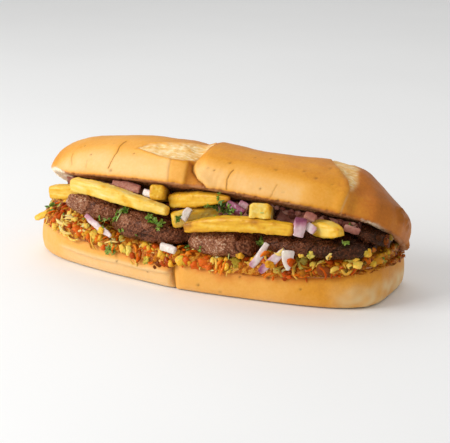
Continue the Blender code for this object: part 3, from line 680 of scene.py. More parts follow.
def make_base(finish):
    """The bottom of the roll, with a cleft across its front and a ridge along its left half."""
    skin = remeshed("roll_base", ROLL_VOXEL)
    skin.ease(CRUST_EASING)
    straight = unrolled(skin.points, lid=False)
    near = line_distance(straight[:, 0], straight[:, 2] / MM_PER_DEGREE,
                         [(px, pz / MM_PER_DEGREE) for px, pz in BASE_CLEFT]) < BASE_MARK_REACH
    skin.refine(near & (straight[:, 1] < -20))

    # Where each part and mark of the base is: shares from 0 to 1, or distances in millimetres.
    straight = unrolled(skin.points, lid=False)
    x, z = straight[:, 0], straight[:, 2]
    front = smoothstep(0.0, -20.0, straight[:, 1])
    normals = skin.normals()
    top = smoothstep(0.55, 0.85, normals[:, 2]) * smoothstep(15.0, 17.0, z)
    sole = smoothstep(-0.6, -0.9, normals[:, 2])
    past_cleft = x - np.interp(z, *np.array(BASE_CLEFT[::-1])[:, ::-1].T)
    cleft = np.abs(past_cleft)
    right_of_cleft = smoothstep(-0.8, 0.8, past_cleft)
    above_ridge = z - np.interp(x, *np.array(BASE_RIDGE).T)
    along_ridge = smoothstep(-98.0, -84.0, x) * smoothstep(-1.0, -6.0, x) * front
    spots = np.max([bell(np.hypot(x - px, z - pz), r) for px, pz, r in BASE_SPOTS], axis=0)

    # How high its skin stands there.
    height = 0.45 * noise_field(straight, 20.0, 13.0) + 0.15 * noise_field(straight, 6.0, 14.0)
    height += 0.05 * noise_field(straight, 2.0, 15.0)
    height += front * (BASE_CLEFT_LIP * bell(cleft - 2.6, 2.4) * right_of_cleft
                       - BASE_CLEFT_SUNK * bell(cleft, 1.1) - SPOT_SUNK * spots)
    height += along_ridge * (RIDGE_RAISED * bell(above_ridge, 1.2)
                             - BELOW_RIDGE_SUNK * smoothstep(0.0, -1.5, above_ridge))
    height *= (1 - top) * (1 - 0.7 * sole)
    height += crumb_relief(straight, top) * 0.7
    skin.raised(height)
    skin.points[:, 2] += BASE_RIM_SWELL * bell(x + 110.0, 14.0) * smoothstep(10.0, 20.0, z) * front
    skin.points[:, 2] = np.maximum(skin.points[:, 2], 0.0)

    # How it is baked, floured, oiled and cracked, with painted shade in its cleft and along its foot, and a
    # painted highlight along its ridge.
    right = smoothstep(48.0, 112.0, x)
    bake_and_shade = BASE_BAKE + 0.04 * smoothstep(4.0, 14.0, z) + 0.25 * right
    bake_and_shade += 0.06 * smoothstep(-14.0, 6.0, x) * (1 - right)
    bake_and_shade -= 0.14 * along_ridge * smoothstep(1.5, -1.0, above_ridge) + 0.04 * smoothstep(5.0, 1.0, z)
    bake_and_shade += 0.05 * along_ridge * smoothstep(0.5, 2.5, above_ridge)
    # The right side of the cleft is darkened as painted shade.
    bake_and_shade += 0.20 * bell(cleft - 0.5, 1.4) * front * right_of_cleft
    bake_and_shade = np.where(straight[:, 1] > 0, np.maximum(bake_and_shade, BACK_BAKE), bake_and_shade)
    dust_and_highlight = smoothstep(94.0, 112.0, x) * smoothstep(20.0, 9.0, z)
    dust_and_highlight = dust_and_highlight * (0.7 + 0.6 * noise_field(straight, 6.0, 16.0))
    # The pale line along the ridge's edge is a painted highlight, not flour.
    dust_and_highlight = np.maximum(dust_and_highlight, 0.8 * along_ridge * bell(above_ridge - 0.2, 1.0))
    above_relish = z - np.interp(x, *np.array(RELISH_EDGE).T)
    oily = smoothstep(-5.0, 0.5, above_relish + 2.0 * noise_field(straight, 6.0, 17.0)) * front
    streaks = smoothstep(7.0, 16.0, z + 3.0 * noise_field(straight, 3.0, 18.0, (1, 1, 6)))
    oily = np.maximum(oily * 0.8, front * streaks * bell(x - 34.0, 9.0))
    # The dark crack colour also paints shade in the cleft.
    split_and_shade = front * (0.5 * bell(cleft, 0.8) + 0.8 * spots)
    skin.paint = {
        "bake_and_shade": np.clip(bake_and_shade, 0, DARKEST_BAKE),
        "crumb": np.clip(top, 0, 1),
        "stretched": 0.6 * bell(cleft - 1.2, 0.9) * (1 - right_of_cleft) * front,
        # The darkening along the foot, where the base meets the floor, is painted shade.
        "crack": np.clip(split_and_shade + 0.4 * smoothstep(1.2, 0.0, z), 0, 1),
        "flour_and_highlight": np.clip(dust_and_highlight * 0.8 + 0.35 * sole, 0, 1),
        "stain": np.clip(0.55 * oily * (1 - top) + 0.5 * top, 0, 1),
    }
    skin.piece("bread_base", "crust", finish, ("roll_base",))
    return skin


# ---- Chips, onion strips and liver ----

CHIP_VOXEL, CHIP_EASING = 0.62, 24
CHIP_BROWNING_AND_PAINTED_LIGHT = (0.21, 0.07, 0.24, 0.26, 0.12, 0.32, 0.02, 0.12, 0.16)  # how dark each chip is drawn: partly its frying, and lighter for some that lie in shade, as painted light


def make_chip(number, finish):
    """A chip, uneven along its length and blistered, with browner edges and tips."""
    node = f"chip_{number:02d}"
    skin = remeshed(node, CHIP_VOXEL)
    skin.ease(CHIP_EASING)
    edges = np.clip(skin.sharpness(8) / 0.45, 0, 1)
    centred = skin.points - skin.points.mean(0)
    axes = np.linalg.svd(centred[::7], full_matrices=False)[2]
    from_middle = np.abs(centred @ axes[0])
    tips = smoothstep(from_middle.max() - 3.0, from_middle.max(), from_middle)
    lengthwise = noise_field(centred @ axes.T, 1.3, number, (7, 1, 1))
    height = 0.35 * noise_field(skin.points, 7.0, number) + 0.18 * noise_field(skin.points, 2.4, number)
    height += 0.07 * noise_field(skin.points, 1.0, number) + 0.12 * lengthwise
    blisters = smoothstep(0.30, 0.05, grain_field(skin.points, 4.5, number)) * 0.35
    skin.raised(height + blisters - 0.15)
    brown = CHIP_BROWNING_AND_PAINTED_LIGHT[number - 1] + 0.12 * edges + 0.08 * tips + 0.3 * blisters + 0.2 * lengthwise
    brown += 0.3 * smoothstep(0.2, 0.6, noise_field(skin.points, 9.0, number + 40.0))
    skin.paint["brown"] = brown
    skin.piece(f"fried_chip_{number:02d}", "fried_potato", finish, (node,))
    return skin


ONION_VOXEL, ONION_EASING = 0.4, 14
# For each strip of onion: how purple its flesh is, how purple its skin is, and which way the skin faces.
ONION_SKIN = (
    (0.15, 0.35, (0, 0, 1)), (0.10, 0.30, (-1, 0, 0)), (0.00, 0.05, (0, 0, 1)), (0.02, 0.05, (-1, 0, 0)),
    (0.62, 0.50, (0, 0, -1)), (0.34, 0.20, (0, 0, 1)), (0.08, 0.40, (-1, 0, 0)), (0.18, 0.50, (-1, 0, 0.3)),
    (0.00, 0.10, (1, 0, 0)), (0.26, 0.50, (0, 0, 1)), (0.42, 0.25, (0, 0, 1)), (0.14, 0.20, (1, 0, 0)),
    (0.45, 0.35, (0, 0, -1)), (0.02, 0.10, (0, 0, 1)), (0.55, 0.35, (0, 0, 1)),
)
STRIPS_IN_SHADE = (11, 13, 15)  # the strips under the lid, given the heap's darker finish as painted shade


def make_onion_strip(number, finish):
    """A strip of onion, a little wavy, with its purple skin on one side."""
    node = f"onion_{number:02d}"
    skin = remeshed(node, ONION_VOXEL)
    skin.ease(ONION_EASING)
    skin.raised(0.45 * noise_field(skin.points, 3.6, number) + 0.14 * noise_field(skin.points, 1.3, number))
    flesh, peel, facing = ONION_SKIN[number - 1]
    side = (skin.points - skin.points.mean(0)) @ (np.array(facing, float) / np.linalg.norm(facing))
    share = (side - side.min()) / (side.max() - side.min())
    skin.paint["skin"] = flesh + peel * smoothstep(0.45, 0.95, share)
    skin.paint["tint"] = 0.12 + 0.4 * share
    skin.piece(f"onion_strip_{number:02d}", "red_onion", finish, (node,))
    return skin


LIVER_VOXEL, LIVER_EASING = 0.68, 14
LIVER_SWELL, LIVER_FORWARD = 1.4, -0.5
# How far each slice sags over the relish, in millimetres along and down.
LIVER_SAG = ((0.0, 0.6), (-2.0, 1.4), (0.5, 1.8), (-2.0, 1.4), (0.0, 0.4))
LIVER_TONE = (0.24, 0.08, 0.25, -0.10, -0.18)  # how much lighter each is drawn: partly its searing, and darker for the slices deep under the lid as painted shade


def make_liver_slice(number, finish):
    """A slice of liver: a lumpy, grained crust with a few deep folds. Its grain tops are painted paler,
    partly as glints, and its folds and its right end darker as painted shade.
    """
    node = f"liver_{number}"
    skin = remeshed(node, LIVER_VOXEL)
    skin.ease(LIVER_EASING)
    grains = 1 - np.clip(grain_field(skin.points, 1.25, number), 0, 1)
    lumps = noise_field(skin.points, 9.0, number)
    folds = np.abs(noise_field(skin.points, 14.0, number + 20.0, (1.6, 1, 1)))
    height = LIVER_SWELL + 0.8 * lumps + 0.35 * noise_field(skin.points, 3.0, number) + 0.6 * (grains - 0.6)
    height -= 0.7 * smoothstep(0.05, 0.0, folds)
    skin.raised(height)
    along, down = LIVER_SAG[number - 1]
    skin.points += (along, LIVER_FORWARD, -down)
    share = (skin.points[:, 0] - skin.points[:, 0].min()) / np.ptp(skin.points[:, 0])
    # Grain tops are painted paler, partly as glints; the folds and the slice's right end are painted darker
    # as shade.
    tone_and_light = LIVER_TONE[number - 1] + 0.4 * (grains - 0.6) - 0.2 * smoothstep(0.06, 0.0, folds)
    skin.paint["grain"] = tone_and_light + 0.12 * lumps - 0.16 * smoothstep(0.45, 0.95, share)
    skin.piece(f"liver_slice_{number}", "fried_liver", finish, (node,))
    return skin


# ---- Small loose things ----


def rounded_bit(random_draws, size, square=3.0, rough=0.18, fine=1):
    """A diced bit: a soft-cornered block with uneven faces, size being its three lengths."""
    bm = bmesh.new()
    bmesh.ops.create_icosphere(bm, subdivisions=fine + 1, radius=1.0)
    ball = np.array([v.co[:] for v in bm.verts])
    faces = np.array([[v.index for v in f.verts] for f in bm.faces])
    bm.free()
    block = ball / ((np.abs(ball) ** square).sum(1) ** (1 / square))[:, None]
    start = random_draws.uniform(0, 50)
    lump = noise_field(block, 0.9, start) + 0.5 * noise_field(block, 0.4, start)
    block *= (1 + rough * lump)[:, None]
    return block * np.array(size) / 2, faces


def strand(random_draws, length, width, thickness, curl):
    """A thin shred, curled along its length and tapering at both ends."""
    stations, corners = 8, 6
    bend = random_draws.uniform(-curl, curl)
    lift = random_draws.uniform(-curl, curl) * 0.5
    twist = random_draws.uniform(-0.9, 0.9)
    points, faces = [], []
    for k in range(stations + 1):
        share = k / stations * 2 - 1
        x = length / 2 * share
        middle = np.array((x, bend * length * (1 - share**2) / 2, lift * length * (1 - share**2) / 2))
        full = (1 - 0.75 * abs(share) ** 4) * (1 + 0.15 * random_draws.uniform(-1, 1))
        for i in range(corners):
            angle = 2 * math.pi * i / corners + twist * share
            around = np.array((0, math.cos(angle) * width / 2, math.sin(angle) * thickness / 2))
            points.append(middle + around * full)
    for k in range(stations):
        for i in range(corners):
            a, b = k * corners + i, k * corners + (i + 1) % corners
            c, d = a + corners, b + corners
            faces += [(a, c, b), (b, c, d)]
    for start, turned in ((0, False), (stations * corners, True)):
        for i in range(1, corners - 1):
            fan = (start, start + i, start + i + 1)
            faces.append(fan[::-1] if turned else fan)
    return np.array(points), np.array(faces)


def parsley_leaf(random_draws, size):
    """A torn parsley leaflet: lobed outline, cupped, as a thin closed shell."""
    lobes = random_draws.choice((3, 4, 5))
    start = random_draws.uniform(0, 6.3)
    cup = random_draws.uniform(-0.5, 0.6)
    wave = random_draws.uniform(0.05, 0.22)
    around, rows, thickness = 22, (0.4, 0.75, 1.0), 0.22
    points, faces = [], []
    for side in (1, -1):
        base = len(points)
        points.append((0, 0, side * thickness / 2))
        for row in rows:
            for i in range(around):
                turn = 2 * math.pi * i / around
                notches = 0.30 * math.cos(lobes * (turn + start)) + 0.10 * math.cos(3 * lobes * turn + start)
                radius = size / 2 * row * (1 - row * (1 - max(0.62 + notches, 0.2)))
                z = cup * size / 2 * row**2 + wave * size / 2 * math.sin(lobes * turn + start * 2) * row
                z += side * thickness / 2 * (row < 1)
                points.append((radius * math.cos(turn) * 1.15, radius * math.sin(turn) * 0.85, z))
        ring = [[base + 1 + r * around + i for i in range(around)] for r in range(len(rows))]
        for i in range(around):
            j = (i + 1) % around
            new = [(base, ring[0][i], ring[0][j])]
            for lower, upper in zip(ring, ring[1:]):
                new += [(lower[i], upper[i], lower[j]), (lower[j], upper[i], upper[j])]
            faces += new if side == 1 else [f[::-1] for f in new]
    return np.array(points), np.array(faces)


class Handful:
    """Many small things of one kind, gathered into one piece."""

    def __init__(self, name, slot, finish):
        self.name, self.slot, self.finish = name, slot, finish
        self.points, self.faces, self.tints, self.count = [], [], [], 0

    def lay(self, shape, spot, outward, heading, tint=0.3, sink=0.0):
        """Puts a shape down at a spot, its third axis outward and its first along the heading."""
        points, faces = shape
        up = np.array(outward, float) / np.linalg.norm(outward)
        ahead = np.array(heading, float) - up * (np.array(heading, float) @ up)
        ahead /= max(np.linalg.norm(ahead), 1e-9)
        turn = np.stack([ahead, np.cross(up, ahead), up])
        self.points.append(points @ turn + np.array(spot) - up * sink)
        self.faces.append(faces + self.count)
        self.tints.append(np.full(len(points), tint))
        self.count += len(points)

    def piece(self):
        skin = Skin(np.concatenate(self.points), np.concatenate(self.faces))
        skin.paint["tint"] = np.concatenate(self.tints)
        skin.piece(self.name, self.slot, self.finish)


# ---- The view ----


def view_frame():
    """The camera's place and its right, up and backward directions."""
    turn, lift = math.radians(AZIMUTH), math.radians(ELEVATION)
    back = np.array((math.sin(turn) * math.cos(lift), -math.cos(turn) * math.cos(lift), math.sin(lift)))
    right = np.array((math.cos(turn), math.sin(turn), 0.0))
    up = np.cross(back, right)
    across = (AIMED_PIXEL[0] - PICTURE[0] / 2) * MM_PER_PIXEL
    above = (PICTURE[1] / 2 - AIMED_PIXEL[1]) * MM_PER_PIXEL
    return AIMED_AT + back * DISTANCE - right * across - up * above, right, up, back


class Landing:
    """Finds where something dropped at a pixel of the view comes to lie."""

    def __init__(self, skins):
        self.trees = [skin.tree() for skin in skins]
        self.place, self.right, self.up, self.back = view_frame()

    def at(self, pixel):
        """The spot that a pixel shows and its outward direction, or None beside the sandwich."""
        ray = self.right * (pixel[0] - PICTURE[0] / 2) + self.up * (PICTURE[1] / 2 - pixel[1])
        ray = ray - self.back * DISTANCE / MM_PER_PIXEL
        ray /= np.linalg.norm(ray)
        best = None
        for tree in self.trees:
            spot, normal, _, distance = tree.ray_cast(Vector(self.place), Vector(ray))
            if spot is not None and (best is None or distance < best[2]):
                best = (np.array(spot), np.array(normal), distance)
        if best is None:
            return None
        outward = best[1] if best[1] @ ray < 0 else -best[1]
        return best[0], outward

    def heading(self, tilt):
        """A direction in the picture, in degrees up from level, as a direction in space."""
        angle = math.radians(tilt)
        return self.right * math.cos(angle) + self.up * math.sin(angle)


# ---- The relish ----


HEAP_EASING = 4


def heap_core(node, voxel, drawn_in):
    """What lies between the bits of a heap: its solid drawn in a little and made uneven."""
    skin = remeshed(node, voxel)
    skin.ease(HEAP_EASING)
    lumps = 0.9 * noise_field(skin.points, 4.5, 31.0)
    skin.raised(-drawn_in + lumps + 0.5 * noise_field(skin.points, 2.2, 32.0))
    skin.paint["tint"] = 0.35 + 0.5 * noise_field(skin.points, 6.0, 33.0)
    return skin


RELISH_TOP = 21.5  # how high the relish stands where it starts to fall over the rim
RELISH_PAST_RIM = 0.9  # how far it hangs past the rim
RELISH_TIP_IN = 5.6  # how much less far at the tips of the roll


def make_relish_bed(finish, base):
    """The bed of relish, spilling forward over the rim of the base."""
    skin = heap_core("relish_bed", voxel=1.2, drawn_in=1.0)
    base_out = unrolled(base.points, lid=False)
    rim = base_out[(base_out[:, 2] > 14.0) & (base_out[:, 1] < 0)]
    steps = np.arange(-120.0, 128.0, 4.0)
    rim_out = np.array([off_middle(rim[np.abs(rim[:, 0] - step) < 5.0]).max() for step in steps])
    straight = unrolled(skin.points, lid=False)
    x, z = straight[:, 0], straight[:, 2]
    out = off_middle(straight)
    past = np.sign(x) * np.maximum(np.abs(x) - (ROLL_HALF_LENGTH - ROLL_HALF_WIDTH), 0)
    away = np.stack([past, straight[:, 1], np.zeros(len(x))], 1) / np.maximum(out, 1.0)[:, None]
    edge = np.interp(x, *np.array(RELISH_EDGE).T) + 1.1 + 0.8 * noise_field(skin.points, 5.0, 34.0)
    spill = smoothstep(10.0, 4.0, z - edge) * smoothstep(0.05, 0.45, (skin.normals() * away).sum(1))
    spill *= smoothstep(26.0, 14.0, straight[:, 1])
    tips = smoothstep(106.0, 118.0, x) + smoothstep(-104.0, -116.0, x)
    to_goal = np.interp(x, steps, rim_out) + RELISH_PAST_RIM - RELISH_TIP_IN * tips - out
    fallen = np.maximum(z - spill * np.maximum(RELISH_TOP - edge, 0.0), edge)
    moved = spill * np.maximum(to_goal, 0.0) + tips * np.clip(to_goal, -3.5, 0.0)
    skin.points += away * moved[:, None]
    skin.points[:, 2] += smoothstep(0.0, 0.3, spill) * (fallen - z)
    skin.piece("relish_mass", "relish", finish, ("relish_bed",))
    return skin


# Each kind: how it is cut, its usual length, width and thickness, and its share of the loose bits.
RELISH_KINDS = {
    "cabbage": ("strand", (11.0, 2.0, 1.3), 0.34),
    "carrot": ("strand", (9.0, 2.2, 1.6), 0.22),
    "potato": ("bit", (5.4, 4.6, 4.0), 0.20),
    "tomato": ("bit", (5.4, 4.4, 3.6), 0.12),
    "cucumber": ("bit", (5.0, 3.8, 3.2), 0.06),
    "aubergine": ("bit", (5.0, 3.8, 3.0), 0.02),
    "pepper": ("bit", (4.4, 3.4, 2.8), 0.14),
}
RELISH_COLOURS = {
    "cabbage": ((0.0, "#f2dc98"), (0.35, "#e9bb54"), (0.7, "#cd8b20"), (1.0, "#9a5a0c")),
    "carrot": ((0.0, "#ec8420"), (0.35, "#df680b"), (0.7, "#bd4c05"), (1.0, "#853203")),
    "potato": ((0.0, "#f4cd60"), (0.35, "#e9b034"), (0.7, "#cc8517"), (1.0, "#94520c")),
    "tomato": ((0.0, "#dd6a1e"), (0.35, "#cb520e"), (0.7, "#a43c07"), (1.0, "#6d2604")),
    "cucumber": ((0.0, "#dcc860"), (0.35, "#bda234"), (0.7, "#90701a"), (1.0, "#60460e")),
    "aubergine": ((0.0, "#8e4416"), (0.35, "#6a2e0c"), (0.7, "#451a06"), (1.0, "#2a0f04")),
    "pepper": ((0.0, "#dd952a"), (0.35, "#c26f17"), (0.7, "#95480b"), (1.0, "#602706")),
}

# Bits of relish that catch the eye along the open side: kind, pixel, length and width in millimetres,
# tilt in degrees and tint.
RELISH_BITS = (
    ("carrot", (50, 202), 5, 2, 10, 0.4), ("cabbage", (63, 207), 6, 2.4, -40, 0.2),
    ("carrot", (58, 216), 7, 2.6, 70, 0.6), ("tomato", (56, 218), 4, 3, 50, 0.3),
    ("cabbage", (63, 222), 12, 2.2, -62, 0.1), ("cabbage", (67, 229), 11, 2.0, -38, 0.1),
    ("cabbage", (71, 219), 9, 3, -10, 0.15), ("potato", (75, 220), 5, 4, 10, 0.1),
    ("cabbage", (64, 233), 8, 1.8, -20, 0.3), ("tomato", (79, 231), 8, 5, -70, 0.15),
    ("carrot", (76, 226), 6, 3, 80, 0.5), ("potato", (87, 226), 4, 4, 0, 0.05),
    ("potato", (93, 235), 7, 6, -20, 0.35), ("carrot", (99, 238), 6, 4, -30, 0.2),
    ("potato", (101, 231), 5, 4, 0, 0.3), ("cabbage", (111, 239), 8, 2, -20, 0.15),
    ("pepper", (108, 240), 4, 3, 0, 0.3), ("carrot", (88, 237), 5, 2.5, 60, 0.5),
    ("potato", (122, 248), 5, 4, -30, 0.15), ("potato", (129, 251), 3.5, 6.5, 0, 0.0),
    ("pepper", (136, 247), 5, 3, -50, 0.5), ("carrot", (138, 256), 9, 2.4, 80, 0.55),
    ("cabbage", (143, 250), 9, 1.6, 40, 0.5), ("cucumber", (147, 260), 5, 4, 20, 0.2),
    ("carrot", (152, 254), 8, 3, -10, 0.3), ("pepper", (158, 258), 6, 4, 0, 0.5),
    ("tomato", (168, 262), 7, 4, -20, 0.7), ("aubergine", (158, 264), 5, 3, -30, 0.2),
    ("cabbage", (134, 262), 8, 1.6, -35, 0.4), ("carrot", (164, 252), 7, 2, 30, 0.6),
    ("potato", (181, 261), 6, 6, 30, 0.25), ("carrot", (188, 257), 5, 3, 20, 0.2),
    ("cabbage", (197, 253), 11, 1.8, -14, 0.1), ("tomato", (196, 265), 6, 4.6, 0, 0.1),
    ("tomato", (204, 262), 7, 5, -10, 0.2), ("tomato", (210, 267), 5, 4, 20, 0.05),
    ("cabbage", (217, 258), 4, 3, 0, 0.05), ("carrot", (218, 266), 10, 2, 78, 0.1),
    ("carrot", (223, 268), 10, 1.6, 100, 0.3), ("potato", (227, 267), 5, 3.0, 60, 0.3),
    ("aubergine", (231, 264), 4, 6, 80, 0.1), ("cucumber", (236, 262), 5, 8, 70, 0.5),
    ("pepper", (243, 265), 5, 4, 0, 0.5), ("cabbage", (249, 266), 8, 2, -35, 0.5),
    ("carrot", (247, 258), 5, 3, 30, 0.6), ("carrot", (265, 255), 7, 4, 20, 0.3),
    ("potato", (270, 265), 5, 4, 0, 0.5), ("pepper", (262, 262), 4, 3, 0, 0.4),
    ("cabbage", (279, 251), 7, 1.8, 10, 0.05), ("potato", (276, 270), 5, 4, -10, 0.25),
    ("cabbage", (288, 272), 8, 3, -15, 0.1), ("carrot", (292, 263), 5, 5, 70, 0.7),
    ("cucumber", (301, 262), 6.5, 6, 60, 0.05), ("potato", (303, 258), 5, 5, 10, 0.1),
    ("cucumber", (311, 256), 5, 3, 20, 0.1), ("potato", (313, 265), 4, 5, 70, 0.2),
    ("carrot", (301, 273), 10, 1.8, 12, 0.35), ("cabbage", (324, 263), 8, 2.4, 40, 0.3),
    ("aubergine", (323, 271), 8, 6, -20, 0.1), ("carrot", (338, 260), 6, 6, 60, 0.2),
    ("potato", (349, 261), 6, 5, 20, 0.0), ("potato", (357, 264), 6, 6, -30, 0.2),
    ("cabbage", (336, 271), 7, 3, 10, 0.5), ("cabbage", (346, 270), 7, 2.4, 15, 0.6),
    ("potato", (368, 253), 5.5, 4.6, 20, 0.35), ("carrot", (367, 261), 6, 4, 10, 0.5),
    # The bits on the next six rows lie under the lid's right end, and their high tints darken them as painted
    # shade.
    ("potato", (378, 260), 7, 6, 20, 0.75), ("cucumber", (383, 262), 4, 5, 0, 0.5),
    ("potato", (387, 250), 7, 7, 40, 0.8), ("pepper", (376, 250), 6, 5, 0, 0.6),
    ("cucumber", (393, 245), 6, 5, 60, 0.7), ("cabbage", (330, 258), 6, 2, 60, 0.4),
    ("pepper", (386, 241), 4, 4, 40, 0.9), ("aubergine", (379, 238), 4, 4, 0, 1.0),
    ("cucumber", (391, 238), 4, 4, 20, 0.9), ("aubergine", (388, 244), 4, 4, 0, 0.8),
    ("cucumber", (396, 242), 4, 4, 0, 0.8), ("pepper", (392, 246), 4, 4, 60, 0.6),
    ("potato", (387, 252), 5, 4, 30, 0.5), ("potato", (373, 264), 5, 4, 10, 0.3),
    ("potato", (240, 256), 4, 4, 20, 0.4),
)


PATCH_SIZE = 13.0  # how far like bits keep together
PATCH_FLOOR, PATCH_CONTRAST = 1.15, 4  # how much of other kinds a patch holds, and how sharply it ends
LOOSE_BITS = 2300
LOOSE_SCALES = (0.42, 0.95)  # of a kind's usual size
SMALLER_AT_TIPS = 0.35
BIT_SUNK, PLACED_BIT_SUNK, STRAND_RAISED = (-0.12, 0.22), 0.12, 0.2  # as shares of their thickness
HEADING_SPREAD = 14  # degrees


def relish_shape(draws, kind, size, fine=1):
    """A bit of relish of one kind, cut as that kind is."""
    if RELISH_KINDS[kind][0] == "strand":
        return strand(draws, *size, curl=0.55)
    return rounded_bit(draws, size, square=draws.uniform(2.2, 3.6), rough=0.42, fine=fine)


CLEAR_FROM, CLEAR_REACH = 0.2, 2.2  # an open spot has nothing over it from one height, for this far
TRIES_PER_SPOT = 4


def open_spots(skin, others, draws, count, keep):
    """Random spots of a heap's surface that nothing else covers, with their outward directions."""
    a, b, c = (skin.points[skin.faces[:, k]] for k in range(3))
    middles, normals = (a + b + c) / 3, np.cross(b - a, c - a)
    areas = np.linalg.norm(normals, axis=1)
    normals /= np.maximum(areas, 1e-9)[:, None]
    wanted = np.flatnonzero(keep(middles, normals))
    totals = np.cumsum(areas[wanted])
    found = []
    for _ in range(count * TRIES_PER_SPOT):
        pick = wanted[min(int(np.searchsorted(totals, draws.random() * totals[-1])), len(wanted) - 1)]
        spot, outward = middles[pick], normals[pick]
        start = Vector(spot + outward * CLEAR_FROM)
        if all(tree.ray_cast(start, Vector(outward), CLEAR_REACH)[0] is None for tree in others):
            found.append((spot, outward))
        if len(found) == count:
            break
    return found


def dress_relish(core, covers, landing, finishes):
    """Lays the loose bits over the relish, in patches of like bits, then those that catch the eye."""
    draws = random.Random(RELISH_SEED)
    handfuls = {kind: Handful(f"relish_{kind}", "relish", finishes[kind]) for kind in RELISH_KINDS}
    kinds = list(RELISH_KINDS)
    shares = [RELISH_KINDS[kind][2] for kind in kinds]
    spots = open_spots(core, [skin.tree() for skin in covers], draws, LOOSE_BITS,
                       lambda middles, normals: (normals[:, 2] > -0.75) & (middles[:, 2] > 14.0)
                       & (middles[:, 1] < 24.0))
    for spot, outward in spots:
        patch = [share * (PATCH_FLOOR + noise.noise(spot / PATCH_SIZE + 9.1 * k)) ** PATCH_CONTRAST
                 for k, share in enumerate(shares)]
        kind = draws.choices(kinds, patch)[0]
        scale = draws.uniform(*LOOSE_SCALES) * (1 - SMALLER_AT_TIPS * smoothstep(104.0, 116.0, abs(spot[0])))
        size = [s * scale * draws.uniform(0.85, 1.15) for s in RELISH_KINDS[kind][1]]
        heading = [draws.gauss(0, 1) for _ in range(3)]
        deep = -STRAND_RAISED if RELISH_KINDS[kind][0] == "strand" else draws.uniform(*BIT_SUNK)
        shade = 0.38 + 0.45 * noise.noise(spot / 9.0) + draws.uniform(-0.25, 0.3)
        # Bits towards the right end are darker, as painted shade under the lid's end.
        shade += 0.45 * smoothstep(84.0, 108.0, spot[0])
        shape = relish_shape(draws, kind, size)
        handfuls[kind].lay(shape, spot, outward, heading, shade, sink=size[2] * deep)
    for kind, pixel, length, width, tilt, tint in RELISH_BITS:
        stringy = RELISH_KINDS[kind][0] == "strand"
        for part in range(2 if stringy else 3):
            share = 1.0 if part == 0 or stringy else 0.6
            jitter = 0.7 * (part > 0) if stringy else 0.3 * (part > 0) * (length + width) / MM_PER_PIXEL / 2
            landed = landing.at((draws.gauss(pixel[0], jitter), draws.gauss(pixel[1], jitter)))
            if landed is None:
                continue
            spot, outward = landed
            size = [length * share, width * share, RELISH_KINDS[kind][1][2] * draws.uniform(0.8, 1.1) * share]
            facing = outward + landing.back * 0.6 + np.array([draws.gauss(0, 0.3) for _ in range(3)])
            handfuls[kind].lay(relish_shape(draws, kind, size, fine=2), spot, facing,
                               landing.heading(tilt + draws.gauss(0, HEADING_SPREAD)),
                               tint + draws.gauss(0, 0.1),
                               sink=size[2] * (0.0 if stringy else PLACED_BIT_SUNK))
    for handful in handfuls.values():
        handful.piece()


ONION_DICE = 420
DICE_LENGTHS, DICE_WIDTHS, DICE_THICKNESSES = (3.2, 6.0), (2.6, 4.0), (1.2, 2.0)


def dress_onion_heap(core, covers, finish):
    """Lays the chopped onion over its heap."""
    draws = random.Random(DICE_SEED)
    dice = Handful("chopped_onion", "chopped_onion", finish)
    spots = open_spots(core, [skin.tree() for skin in covers], draws, ONION_DICE,
                       lambda middles, normals: (middles[:, 1] < 10.0) | (normals[:, 1] < 0.3))
    for spot, outward in spots:
        size = [draws.uniform(*lengths) for lengths in (DICE_LENGTHS, DICE_WIDTHS, DICE_THICKNESSES)]
        heading = [draws.gauss(0, 1), draws.gauss(0, 0.4), draws.gauss(0, 0.5)]
        shape = rounded_bit(draws, size, square=3.4, rough=0.16)
        dice.lay(shape, spot, outward, heading, draws.uniform(0.0, 1.0), sink=0.2)
    dice.piece()


# ---- Parsley ----

# Clumps of parsley: pixel, spread in pixels, leaves and leaf size in millimetres.
PARSLEY = (
    ((54, 208), 5, 5, 5.0), ((58, 214), 3, 3, 3.6), ((121, 212), 5, 6, 4.6), ((116, 218), 4, 4, 4.0),
    ((104, 219), 4, 4, 3.0), ((148, 219), 5, 5, 4.2), ((155, 222), 6, 9, 5.0), ((160, 227), 3, 4, 3.8),
    ((110, 248), 6, 8, 4.6), ((179, 218), 3, 4, 3.0), ((218, 197), 2.5, 4, 2.6), ((212, 207), 6, 7, 3.4),
    ((221, 206), 7, 12, 4.4), ((229, 209), 5, 8, 4.0), ((216, 216), 3, 2, 2.0), ((228, 214), 4, 4, 2.2),
    ((240, 213), 3, 2, 1.6), ((261, 241), 5, 6, 3.6), ((257, 244), 3, 3, 2.8), ((345, 242), 4, 4, 3.6),
    ((123, 229), 2, 2, 2.6), ((135, 234), 3, 1, 1.8), ((199, 250), 4, 3, 2.2), ((148, 262), 3, 2, 2.4),
    ((310, 256), 4, 3, 2.6), ((351, 225), 2, 2, 1.8), ((102, 227), 2, 2, 2.0), ((186, 249), 3, 3, 2.6),
)
STEMS = (
    ((122, 241), 8.0, 8), ((229, 255), 6.0, 80), ((262, 213), 2.6, -5), ((119, 217), 7.0, 55),
    ((218, 208), 6.0, 20),
)
STRAY_LEAVES = 60
STRAY_LEAF_SIZES = (2.0, 3.6)
STEM_THICKNESS, STEM_CURL = 0.7, 0.2


